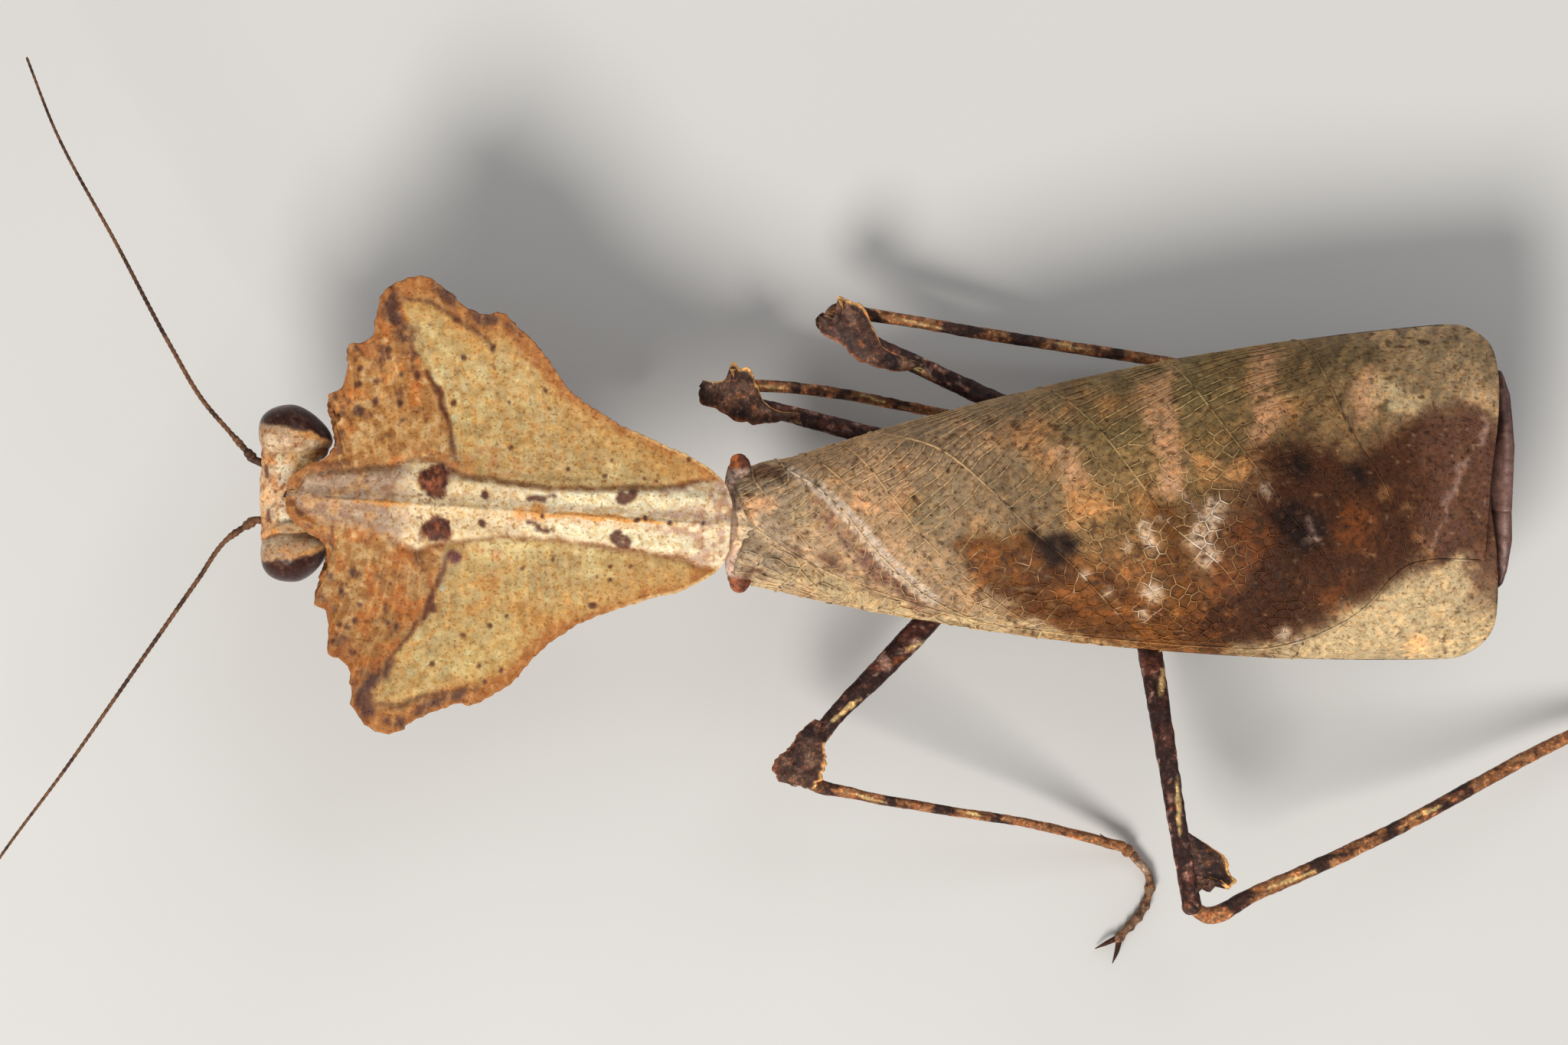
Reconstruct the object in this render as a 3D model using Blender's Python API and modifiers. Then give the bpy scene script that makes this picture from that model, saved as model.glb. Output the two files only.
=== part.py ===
"""Giant dead leaf mantis, grown female, life size: a still model that stands on the floor.

Lengths are millimetres in a layout of its own: x runs from head to wing tips, y to the mantis's
right, z up from the floor, and the layout's zero lies over the base of the wings. The mesh builder
moves everything so that the world's zero is the middle of the footprint, and turns it into metres.
"""

import math

import bmesh
import bpy
import numpy as np
from mathutils import Matrix, Vector

MM = 0.001
FOOTPRINT_MIDDLE = np.array([7.23, 0.36, 0.0])
GAP = 0.3  # between neighbouring parts

SHIELD_LENGTH = 28.4
SHIELD_REAR = (-3.41, -0.26)
SHIELD_YAW = math.radians(3.95)  # the shield points a little to the mantis's right
SHIELD_REAR_TOP = 14.6
SHIELD_RISE = 2.3  # from its rear end to its front end
SHIELD_THICKNESS = 0.7
KEEL = 0.3

HEAD_CENTRE = (-31.3, 1.95)
HEAD_YAW = math.radians(-3.1)
HEAD_TOP = 15.3
EYE = (2.05, 1.8, 2.5)  # half sizes: fore and aft, sideways, upright
EYE_SPREAD = 3.85
EYE_HEIGHT = 13.7

WING_THICKNESS = 0.5
VEIN_LIFT = 0.25
VEIN_REACH = 0.35  # half the width of a vein's foot
UPPER_WING, LOWER_WING, HIND_WING = 0.0, 0.98, 1.95  # how deep each pair member lies
WING_SQUARENESS = 2.2

for old in list(bpy.data.objects):
    bpy.data.objects.remove(old)
PARTS = bpy.data.collections.new("giant_dead_leaf_mantis")
WORK = bpy.data.collections.new("cutters")
for each in (PARTS, WORK):
    bpy.context.scene.collection.children.link(each)
STAND = bpy.data.objects.new("stand", None)  # every part hangs from this empty
PARTS.objects.link(STAND)


# Curves and shapes


def smooth(rows, count):
    """Evenly spaced rows along a smooth curve through the given rows."""
    rows = np.array(rows, float)
    reach = np.concatenate([[0], np.cumsum(np.linalg.norm(np.diff(rows, axis=0), axis=1))])
    slope = np.gradient(rows, reach, axis=0)
    at = np.linspace(0, reach[-1], count)
    k = np.clip(np.searchsorted(reach, at, side="right") - 1, 0, len(reach) - 2)
    span = (reach[k + 1] - reach[k])[:, None]
    t = (at - reach[k])[:, None] / span
    bend = (t**3 - 2 * t**2 + t) * span * slope[k] + (t**3 - t**2) * span * slope[k + 1]
    return rows[k] + (3 * t**2 - 2 * t**3) * (rows[k + 1] - rows[k]) + bend


def ease(x, low, high):
    """0 below low, 1 above high, and a smooth step between them."""
    t = np.clip((np.asarray(x, float) - low) / (high - low), 0, 1)
    return t * t * (3 - 2 * t)


def loft(rings):
    """A closed surface through rings of equally many points, capped at both ends."""
    work = bmesh.new()
    loops = [[work.verts.new(point) for point in ring] for ring in rings]
    for one, two in zip(loops, loops[1:]):
        for n in range(len(one)):
            m = (n + 1) % len(one)
            work.faces.new((one[n], one[m], two[m], two[n]))
    work.faces.new(loops[0][::-1])
    work.faces.new(loops[-1])
    return work


def tube(rows, sides=8, count=0, up=(0, 0, 1)):
    """A round-ended rod through rows of x, y, z, half width and half height."""
    rows = smooth(rows, count or len(rows))
    along = np.gradient(rows[:, :3], axis=0)
    along /= np.linalg.norm(along, axis=1, keepdims=True)
    nose = 0.5 * rows[:, 3:].min(axis=1, keepdims=True) * along
    rows = np.concatenate([rows[:1], rows, rows[-1:]])
    rows[0, :3] -= nose[0]
    rows[-1, :3] += nose[-1]
    rows[[0, -1], 3:] *= 0.5
    along = np.concatenate([along[:1], along, along[-1:]])
    side = np.cross(up, along)
    side /= np.linalg.norm(side, axis=1, keepdims=True)
    lift = np.cross(along, side)
    turn = np.arange(sides) * 2 * math.pi / sides
    return loft([
        row[:3] + np.outer(np.cos(turn) * row[3], s) + np.outer(np.sin(turn) * row[4], u)
        for row, s, u in zip(rows, side, lift)
    ])


def grown(rows, by=GAP):
    """The same rod, thicker all round and a little longer."""
    rows = np.array(rows, float)
    rows[:, 3:] += by
    for end, inner in ((0, 1), (-1, -2)):
        step = rows[end, :3] - rows[inner, :3]
        rows[end, :3] += by * 0.6 * step / np.linalg.norm(step)
    return rows


def cone(base, tip, radius, sides=4):
    """A spine whose foot is sunk below its base point."""
    base, tip = Vector(base), Vector(tip)
    along = (tip - base).normalized()
    foot = base - along * radius
    turn = along.to_track_quat("Z", "Y").to_matrix().to_4x4()
    work = bmesh.new()
    bmesh.ops.create_cone(
        work, cap_ends=True, segments=sides, radius1=radius, radius2=0.12,
        depth=(tip - foot).length, matrix=Matrix.Translation((foot + tip) / 2) @ turn,
    )
    return work


def ball(centre, half, sides=14, rings=9, axes=np.eye(3)):
    """An egg of three half sizes, its poles along the third axis."""
    work = bmesh.new()
    bmesh.ops.create_uvsphere(work, u_segments=sides, v_segments=rings, radius=1.0)
    place = np.array(axes, float).T * np.array(half, float)
    for vert in work.verts:
        vert.co = place @ np.array(vert.co) + np.array(centre)
    return work


def sheet(points, thickness):
    """A shell under an open surface, which runs through rows and columns of points."""
    rows, cols = points.shape[:2]
    work = bmesh.new()
    bmesh.ops.create_grid(work, x_segments=cols - 1, y_segments=rows - 1, size=1.0)
    for vert, point in zip(work.verts, points.reshape(-1, 3)):
        vert.co = point
    work.normal_update()
    if sum(face.normal.z * face.calc_area() for face in work.faces) < 0:
        bmesh.ops.reverse_faces(work, faces=work.faces)
    return work, thickness


# Meshes and nodes


def mesh_object(name, shape, home):
    """Moves a shape from the layout to the world and gives a shell its thickness."""
    work, thickness = shape if isinstance(shape, tuple) else (shape, 0.0)
    work = work.copy()  # a cutter serves more than one part
    place = Matrix.Scale(MM, 4) @ Matrix.Translation(-Vector(FOOTPRINT_MIDDLE))
    bmesh.ops.transform(work, matrix=place, verts=work.verts)
    if not thickness:
        bmesh.ops.recalc_face_normals(work, faces=work.faces)
    mesh = bpy.data.meshes.new(name)
    work.to_mesh(mesh)
    work.free()
    obj = bpy.data.objects.new(name, mesh)
    home.objects.link(obj)
    if thickness:
        shell = obj.modifiers.new("thickness", "SOLIDIFY")
        shell.thickness, shell.offset = thickness * MM, -1.0
    return obj


def largest_body(mesh):
    """Keeps only the body with the most volume, so that a Boolean leaves no crumbs."""
    work = bmesh.new()
    work.from_mesh(mesh)
    bmesh.ops.triangulate(work, faces=work.faces)
    left, bodies = set(work.faces), []
    while left:
        body, edge = set(), [left.pop()]
        while edge:
            face = edge.pop()
            body.add(face)
            near = {f for e in face.edges if len(e.link_faces) == 2 for f in e.link_faces} & left
            left -= near
            edge += near
        bodies.append(body)
    corners = [[[v.co for v in f.verts] for f in body] for body in bodies]
    sizes = [sum(p.dot(q.cross(r)) for p, q, r in body) for body in corners]
    keep = bodies[int(np.argmax(sizes))]
    bmesh.ops.delete(work, geom=[f for f in work.faces if f not in keep], context="FACES")
    work.to_mesh(mesh)
    work.free()


def baked(obj):
    """Gives an object the mesh that its modifiers make."""
    bpy.context.view_layer.update()
    seen = obj.evaluated_get(bpy.context.evaluated_depsgraph_get())
    made = bpy.data.meshes.new_from_object(seen)
    obj.modifiers.clear()
    obj.data = made


def node(name, shapes, colour, rough=0.6, cuts=()):
    """Joins shapes into one body, cuts others from it, and gives it a material of its own."""
    obj = mesh_object(name, shapes[0], PARTS)
    for operation, pieces in (("UNION", shapes[1:]), ("DIFFERENCE", cuts)):
        if not pieces:
            continue
        group = bpy.data.collections.new("group")
        WORK.children.link(group)
        helpers = [mesh_object("helper", piece, group) for piece in pieces]
        step = obj.modifiers.new("join", "BOOLEAN")
        step.operation, step.operand_type = operation, "COLLECTION"
        step.collection, step.solver = group, "EXACT"
        baked(obj)
        for helper in helpers:
            bpy.data.objects.remove(helper)
        bpy.data.collections.remove(group)
    baked(obj)
    largest_body(obj.data)
    middle = sum((Vector(corner) for corner in obj.bound_box), Vector()) / 8
    obj.data.transform(Matrix.Translation(-middle))
    obj.location = middle
    obj.parent = STAND
    obj.data.name = name
    obj.data.shade_smooth()
    obj.data.set_sharp_from_angle(angle=math.radians(50))
    finish(obj, name, colour, rough)
    return obj


def finish(obj, name, colour, rough):
    coat = bpy.data.materials.new(name)
    coat.use_nodes = True
    shader = coat.node_tree.nodes["Principled BSDF"]
    shader.inputs["Base Color"].default_value = (*colour, 1)
    shader.inputs["Roughness"].default_value = rough
    obj.data.materials.clear()
    obj.data.materials.append(coat)


def feeler(name, points, thick, thin, colour):
    """A tapering rod along a smooth curve through points."""
    count = 22
    line = (smooth(points, count) - FOOTPRINT_MIDDLE) * MM
    curve = bpy.data.curves.new(name, "CURVE")
    curve.dimensions, curve.fill_mode = "3D", "FULL"
    curve.bevel_depth, curve.bevel_resolution, curve.use_fill_caps = thick * MM, 1, True
    spline = curve.splines.new("POLY")
    spline.points.add(count - 1)
    for n, (point, place) in enumerate(zip(spline.points, line)):
        point.co = (*place, 1)
        point.radius = 1 - (1 - thin / thick) * n / (count - 1)
    spline.points[0].radius = 1.4  # the stout first joint
    obj = bpy.data.objects.new(name, curve)
    PARTS.objects.link(obj)
    obj.parent = STAND
    finish(obj, name, colour, 0.6)


# The shield: a flat pronotum with a leafy lobe each side


def on_shield(a, b, z):
    """Layout point a forward of the shield's rear end, b to its right, at height z."""
    c, s = math.cos(SHIELD_YAW), math.sin(SHIELD_YAW)
    a, b = np.asarray(a, float), np.asarray(b, float)
    x = SHIELD_REAR[0] - a * c + b * s
    y = SHIELD_REAR[1] + a * s + b * c
    return np.stack(np.broadcast_arrays(x, y, np.asarray(z, float)), axis=-1)


def shield_top(a, b):
    """Height of the shield's upper face."""
    a, b = np.asarray(a, float), np.abs(np.asarray(b, float))
    spine = SHIELD_REAR_TOP + SHIELD_RISE * a / SHIELD_LENGTH
    ridge = KEEL * (1 - ease(b, 0.0, 0.9)) + 0.45 * (1 - ease(b, 1.5, 2.6))
    sag = 0.8 * ease(b, 2.0, 14.0) + 0.35 * ease(b, 2.0, 6.5) * (1 - ease(b, 6.5, 12.0))
    return spine - 0.45 + ridge * (1 - 0.6 * ease(a, 25.0, 28.4)) - sag


# Half outline of the shield from the middle of its front edge round to the middle of its rear
# edge, as a forward and b sideways, each with the place on the midline from which its rib fans out.
SHIELD_OUTLINE = [
    (28.4, 0.4, 28.4), (28.3, 1.0, 27.8), (27.2, 2.05, 26.9), (26.0, 2.7, 25.9),
    (25.5, 3.5, 25.2), (25.6, 4.8, 24.7), (26.0, 6.0, 24.2), (26.2, 6.8, 23.9),
    (25.5, 7.1, 23.6), (25.2, 8.0, 23.2), (25.1, 9.1, 22.8), (25.1, 10.0, 22.4),
    (24.4, 10.1, 22.0), (23.7, 10.7, 21.6), (23.5, 12.0, 21.1), (23.3, 13.2, 20.6),
    (22.6, 14.1, 20.0), (21.3, 14.7, 19.4), (20.5, 14.65, 18.7), (19.4, 13.95, 18.0),
    (17.9, 13.0, 17.1), (16.7, 12.55, 16.2), (15.7, 12.65, 15.3), (14.5, 11.9, 14.4),
    (13.3, 10.9, 13.4), (12.2, 9.6, 12.4), (11.2, 8.4, 11.4), (10.2, 7.6, 10.3),
    (9.1, 6.9, 9.1), (7.7, 6.2, 7.8), (6.0, 5.5, 6.3), (4.7, 5.0, 5.0), (3.4, 4.6, 3.8),
    (2.4, 4.1, 2.7), (1.4, 3.5, 1.7), (0.5, 2.7, 0.8), (0.0, 1.5, 0.0),
]


def shield_ribs(side):
    """Points across half the shield, one row for each place on its outline."""
    rows = []
    for n, (a, b, root) in enumerate(SHIELD_OUTLINE):
        wobble = 1 + side * 0.006 * math.sin(1.7 * n)  # the two lobes differ a little
        b = b * wobble
        near, strip = min(1.7, 0.4 * b), min(2.6, 0.6 * b)
        across = [0, near, strip, strip + 0.45 * (b - strip), strip + 0.9 * (b - strip), b]
        rows.append([(root + (a - root) * w / b, side * w) for w in across])
    return np.array(rows)


def shield():
    right, left = shield_ribs(1), shield_ribs(-1)
    flat = np.concatenate([left[:, :0:-1], right], axis=1)
    top = shield_top(flat[..., 0], flat[..., 1])
    upper = on_shield(flat[..., 0], flat[..., 1], top)
    body = [
        (1.1, 2.4, 1.9), (3.0, 2.5, 1.9), (8.0, 2.2, 1.9), (13.0, 2.2, 1.9), (16.5, 2.6, 2.1),
        (19.0, 2.9, 2.2), (21.5, 2.5, 2.0), (23.6, 1.8, 1.7), (24.9, 1.4, 1.3),
    ]
    rows = [(*on_shield(a, 0, shield_top(a, 0) - 0.5 - h), w, h) for a, w, h in body]
    return [sheet(upper, SHIELD_THICKNESS), tube(rows, 12, 14)]


# The head


def on_head(u, v, z):
    """Layout point u forward of the head's middle, v to its right, at height z."""
    c, s = math.cos(HEAD_YAW), math.sin(HEAD_YAW)
    return np.array([HEAD_CENTRE[0] - u * c + v * s, HEAD_CENTRE[1] + u * s + v * c, z])


def egg_on_head(u, v, z, half, sides=14, rings=9):
    axes = [on_head(1, 0, 0) - on_head(0, 0, 0), on_head(0, 1, 0) - on_head(0, 0, 0), (0, 0, 1)]
    return ball(on_head(u, v, z), half, sides, rings, axes)


def head():
    profile = smooth([
        (8.3, 0.5, 0.4, -0.5), (8.9, 1.1, 0.8, -0.4), (9.8, 1.5, 1.1, -0.25),
        (11.0, 2.0, 1.35, -0.1), (12.4, 2.7, 1.6, 0.0), (13.6, 3.1, 1.75, 0.05),
        (14.5, 3.0, 1.7, 0.0), (15.0, 2.6, 1.3, -0.05), (HEAD_TOP, 1.8, 0.7, -0.1),
    ], 11)
    turn = np.arange(16) * 2 * math.pi / 16
    rings = [
        [on_head(d * math.cos(t) + shift, w * math.sin(t), z) for t in turn]
        for z, w, d, shift in profile
    ]
    shapes = [loft(rings), egg_on_head(-0.3, 0, 13.2, (1.7, 2.0, 1.8), 12, 7)]
    for v in (-1, 1):
        shapes += [
            tube([(*on_head(0.9, v * 1.1, 9.6), 0.3, 0.3), (*on_head(1.1, v * 1.3, 8.4), 0.28, 0.28),
                  (*on_head(0.7, v * 0.9, 7.3), 0.26, 0.26)], 5, 0, (1, 0, 0)),
            tube([(*on_head(-0.6, v * 1.0, 9.8), 0.3, 0.3), (*on_head(-1.0, v * 1.5, 8.6), 0.28, 0.28),
                  (*on_head(-0.8, v * 1.2, 7.6), 0.26, 0.26)], 5, 0, (1, 0, 0)),
            tube([(*on_head(-0.1, v * 0.75, 9.4), 0.7, 0.6), (*on_head(-0.1, v * 0.55, 8.2), 0.5, 0.45),
                  (*on_head(-0.1, v * 0.3, 7.6), 0.25, 0.25)], 6, 0, (1, 0, 0)),
            egg_on_head(1.35, v * 1.8, 13.4, (0.55, 0.6, 0.6), 7, 4),
            egg_on_head(1.75, v * 0.55, 14.3, (0.3, 0.3, 0.3), 5, 3),
        ]
    shapes.append(tube([(*on_head(0.85, 0, 10.4), 1.0, 0.35), (*on_head(0.55, 0, 8.4), 0.8, 0.3)],
                       8, 0, (1, 0, 0)))
    shapes.append(egg_on_head(1.75, 0, 13.6, (0.3, 0.3, 0.3), 5, 3))
    return shapes


def eye(side, by=0.0):
    half = [h + by for h in EYE]
    return egg_on_head(0, side * EYE_SPREAD, EYE_HEIGHT, half)


ANTENNAE = {
    "right": [(-34.1, 4.1, 13.5), (-35.5, 5.7, 13.6), (-37.3, 7.8, 13.6), (-39.4, 11.3, 13.4),
              (-42.9, 17.8, 12.8), (-47.1, 25.5, 12.0), (-48.9, 30.0, 11.5)],
    "left": [(-34.1, 0.1, 13.5), (-35.9, -1.2, 13.6), (-37.6, -3.6, 13.6), (-41.5, -9.1, 13.1),
             (-46.4, -16.0, 12.4), (-50.6, -21.6, 11.8), (-52.5, -24.4, 11.5)],
}


# The wings lie on a sleeve that wraps the abdomen


def sleeve(x):
    """Half width, middle in y, height of the edges and rise of the top, at x."""
    x = np.asarray(x, float)
    u = x / 40.14
    half = 4.3 + 11.2 * u - 4.7 * u * u
    base = 10 - 1.5 * ease(x, -3, 22) - 0.2 * ease(x, 22, 46)
    rise = 4.6 + 3.4 * ease(x, -3, 22) - 1.2 * ease(x, 22, 47)
    return half, -0.25 + 0.0527 * x, base, rise


def on_sleeve(x, w, depth=0.0):
    """Layout point at x, w of the way from the top to the right edge, depth under the face."""
    half, middle, base, rise = sleeve(x)
    w = np.asarray(w, float)
    turn = w * math.pi / 2
    power = 2 / WING_SQUARENESS
    y = middle + (half - depth) * np.sign(w) * np.abs(np.sin(turn)) ** power
    z = base + (rise - depth) * np.abs(np.cos(turn)) ** power
    return np.stack(np.broadcast_arrays(x, y, z), axis=-1)


def around(x, y):
    """The w of a point seen from above."""
    half, middle, _, _ = sleeve(x)
    out = np.clip((y - middle) / half, -1, 1)
    return float(np.sign(out) * math.asin(abs(out) ** (WING_SQUARENESS / 2)) * 2 / math.pi)


# Each rib runs from the front edge of the right wing, along a vein, to the hind margin: first the
# x where it leaves the edge, then points seen from above, then x and w where it ends. The first
# and last ones are the wing's base and its squared tip.
WING_RIBS = [
    (-2.6, [(-2.7, 1.5)], (-2.7, -0.13)),
    (-2.1, [(-1.7, 2.4), (0.8, -0.6)], (3.4, -0.43)),
    (-0.6, [(0.1, 3.5), (2.2, 2.2), (4.4, 0.0), (6.5, -2.5), (9.4, -4.9)], (12.4, -0.74)),
    (2.7, [(3.8, 4.9), (7.7, 0.6), (11.6, -3.5)], (17.0, -0.77)),
    (5.4, [(6.4, 5.7), (10.0, 4.7), (13.4, 1.9), (18.9, -3.2)], (23.8, -0.78)),
    (11.0, [(12.6, 6.6), (16.8, 3.2), (20.8, -1.0), (24.6, -4.4)], (28.0, -0.78)),
    (16.4, [(17.4, 8.4), (20.2, 5.9), (24.2, 0.4), (28.3, -3.2)], (31.4, -0.76)),
    (24.4, [(25.4, 9.8), (27.6, 6.9), (31.9, 1.0), (34.6, -2.2)], (36.6, -0.5)),
    (33.0, [(34.2, 10.6), (36.4, 5.6), (39.0, 0.8)], (40.0, -0.26)),
    (42.0, [(43.4, 12.2), (44.6, 11.2), (45.5, 9.6), (45.5, 7.0), (44.9, 2.0)], (44.6, -0.25)),
]


def wing_rows(count):
    """Grid of x and w over the right wing, with how far each row is lifted as a vein."""
    ribs = []
    for first, middle, last in WING_RIBS:
        points = [(first, 1.0), *[(x, around(x, y)) for x, y in middle], last]
        spread = smooth([(x, w * 12) for x, w in points], count)
        ribs.append(spread / (1, 12))
    rows, lifts = [], []
    for n, (one, two) in enumerate(zip(ribs, ribs[1:])):
        gap = np.linalg.norm((two - one) * (1, 12), axis=1)[:, None]
        near = np.minimum(VEIN_REACH / gap, 0.3)
        for t, lift in ((0 * near, n > 0), (near, 0), (0.5 + 0 * near, 0), (1 - near, 0)):
            if n == 0 and lift == 0 and t is near:
                continue
            rows.append(one + (two - one) * t)
            lifts.append(float(lift))
    return np.array(rows + [ribs[-1]]), np.array(lifts + [0.0])


def hind_margin(x):
    """The w of the right wing's hind margin, which lies on the mantis's left."""
    places = [-3.0, -0.4, 2.2, 5.4, 8.8, 13.4, 20.0, 31.5, 36.6, 38.8, 40.0, 45.0]
    angles = [-0.13, -0.13, -0.37, -0.53, -0.68, -0.75, -0.78, -0.76, -0.5, -0.35, -0.26, -0.25]
    return np.interp(x, places, angles)


def lower_depth(x, w):
    """The left wing dips under the right one, and comes level with it where it is bare."""
    edge = hind_margin(x)
    return LOWER_WING * ease(w, edge - 0.3, edge - 0.15)


def fore_wing(side):
    grid, lifts = wing_rows(11)
    x, w = grid[..., 0], grid[..., 1] * side
    depth = UPPER_WING + 0 * x if side > 0 else lower_depth(x, w)
    inside = np.ones(grid.shape[1])
    inside[[0, -1]] = 0.0
    lift = VEIN_LIFT * lifts[:, None] * inside * (1 - depth / LOWER_WING)
    return [sheet(on_sleeve(x, w, depth - lift), WING_THICKNESS)]


def hind_wing(side):
    """A folded fan, seen only where its tip looks out behind the fore wings."""
    w = np.linspace(0.03, 0.82, 9) + (0.06 if side < 0 else 0.0)
    ends = 46.3 - 3.2 * ease(w, 0.45, 0.85) - 0.5 * (1 - ease(w, 0.0, 0.3))
    along = np.linspace(0, 1, 12)[:, None]
    x = 1.0 + (ends[None, :] - 1.0) * along
    pleat = 0.12 * (np.arange(9) % 2) * ease(along, 0.05, 0.3)
    angle = np.broadcast_to(side * w[None, :], x.shape)
    if side < 0:
        angle = angle + 0.09 * ease(x, 20, 40)
    else:
        angle = angle + 0.09 * ease(x, 20, 40) * (1 - np.linspace(0, 1, 9)[None, :])
    return [sheet(on_sleeve(x, angle, HIND_WING + pleat), WING_THICKNESS)]


# Thorax and abdomen


def ellipse_rings(rows, sides, lobes=None):
    """Upright rings along x from rows of x, y, z, half width and half height."""
    turn = np.arange(sides) * 2 * math.pi / sides
    rings = []
    for n, (x, y, z, w, h) in enumerate(rows):
        wide = w * np.cos(turn)
        if lobes is not None:
            wide = wide * (1 + lobes[n] * np.abs(np.cos(turn)) ** 8)
        rings.append(np.stack([np.full(sides, x), y + wide, z + h * np.sin(turn)], axis=1))
    return rings


def thorax():
    lower = [(-2.9, -0.4, 8.4, 1.6, 1.4), (-2.4, -0.4, 8.2, 2.5, 2.1), (0.0, -0.3, 8.0, 3.2, 2.2),
             (5.0, 0.0, 7.9, 3.8, 2.1), (10.0, 0.3, 7.9, 3.9, 1.9), (13.2, 0.45, 8.1, 3.5, 1.6),
             (13.7, 0.5, 8.2, 2.6, 1.2)]
    upper = [(-2.9, -0.4, 10.6, 1.2, 1.6), (-2.0, -0.4, 10.1, 1.4, 2.1), (2.0, -0.2, 9.7, 1.5, 1.9),
             (8.0, 0.2, 9.9, 2.6, 2.3), (13.2, 0.45, 10.2, 3.1, 2.5), (13.6, 0.5, 10.2, 2.4, 1.9)]
    shapes = [loft(ellipse_rings(lower, 12)), loft(ellipse_rings(upper, 10))]
    shapes.append(ball((-2.2, -0.3, 12.1), (0.65, 1.2, 0.75), 8, 5))
    return shapes


ABDOMEN_SEGMENTS = 8


def abdomen():
    rows, lobes = [], []
    starts = np.linspace(14.1, 41.0, ABDOMEN_SEGMENTS + 1)
    for n in range(ABDOMEN_SEGMENTS):
        for t, flare in ((0.02, 0.93), (0.45, 1.0), (0.97, 1.03)):
            x = starts[n] + (starts[n + 1] - starts[n]) * t
            half, middle, base, rise = (float(v) for v in sleeve(x))
            taper = 1 - 0.55 * float(ease(x, 30, 43))
            swell = 0.75 + 0.25 * float(ease(x, 14, 20))
            bottom = 6.8 - 1.4 * float(ease(x, 19, 28)) + 1.8 * float(ease(x, 33, 42))
            top = base + (rise - 3.35) - 3.2 * float(ease(x, 34, 43))
            rows.append((x, middle, (top + bottom) / 2,
                         (half - 3.7) * taper * swell * flare, (top - bottom) / 2 * (flare - 0.03)))
            lobes.append(0.10 if t > 0.9 else 0.0)
    tip = rows[-1]
    rows.append((42.4, tip[1] + 0.05, tip[2], tip[3] * 0.55, tip[4] * 0.5))
    lobes.append(0.0)
    shapes = [loft(ellipse_rings(rows, 16, lobes))]
    for side in (-1, 1):
        shapes.append(cone((41.6, 2.0 + side * 0.5, 7.8), (43.6, 2.1 + side * 0.35, 7.2), 0.55, 6))
    return shapes


def cercus(side, by=0.0):
    rows = [(42.1, 2.0 + side * 2.3, 9.0, 0.5, 0.5), (43.3, 2.05 + side * 2.8, 9.0, 0.6, 0.4),
            (44.6, 2.1 + side * 3.0, 8.9, 0.35, 0.3)]
    rows = grown(rows, by) if by else rows
    return tube(rows, 8, 6)


# Legs. Each segment is rows of x, y, z, half width and half height in the layout.


def foreleg(side):
    def rows(points):
        return [(*on_shield(a, side * b, z), w, h) for a, b, z, w, h in points]
    coxa = rows([(19.0, 2.9, 11.0, 1.2, 1.2), (15.6, 3.3, 9.1, 1.15, 1.15),
                 (12.0, 3.8, 7.1, 1.0, 1.0), (8.9, 4.2, 5.4, 0.85, 0.85)])
    femur = rows([(7.6, 4.6, 4.6, 0.75, 0.8), (10.0, 5.3, 4.7, 0.85, 1.3),
                  (14.0, 6.2, 5.2, 0.95, 2.1), (19.0, 6.8, 6.3, 0.9, 1.8),
                  (23.3, 6.7, 7.4, 0.75, 1.05)])
    tibia = rows([(24.2, 6.8, 6.2, 0.7, 0.8), (22.6, 6.9, 4.5, 0.65, 0.8),
                  (19.6, 7.0, 2.3, 0.55, 0.6), (17.0, 7.0, 1.05, 0.42, 0.42)])
    tarsus = rows([(16.1, 7.2, 0.6, 0.42, 0.42), (14.2, 7.1, 0.4, 0.4, 0.45),
                   (12.0, 6.5, 0.4, 0.36, 0.45)])
    return coxa, femur, tibia, tarsus


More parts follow.
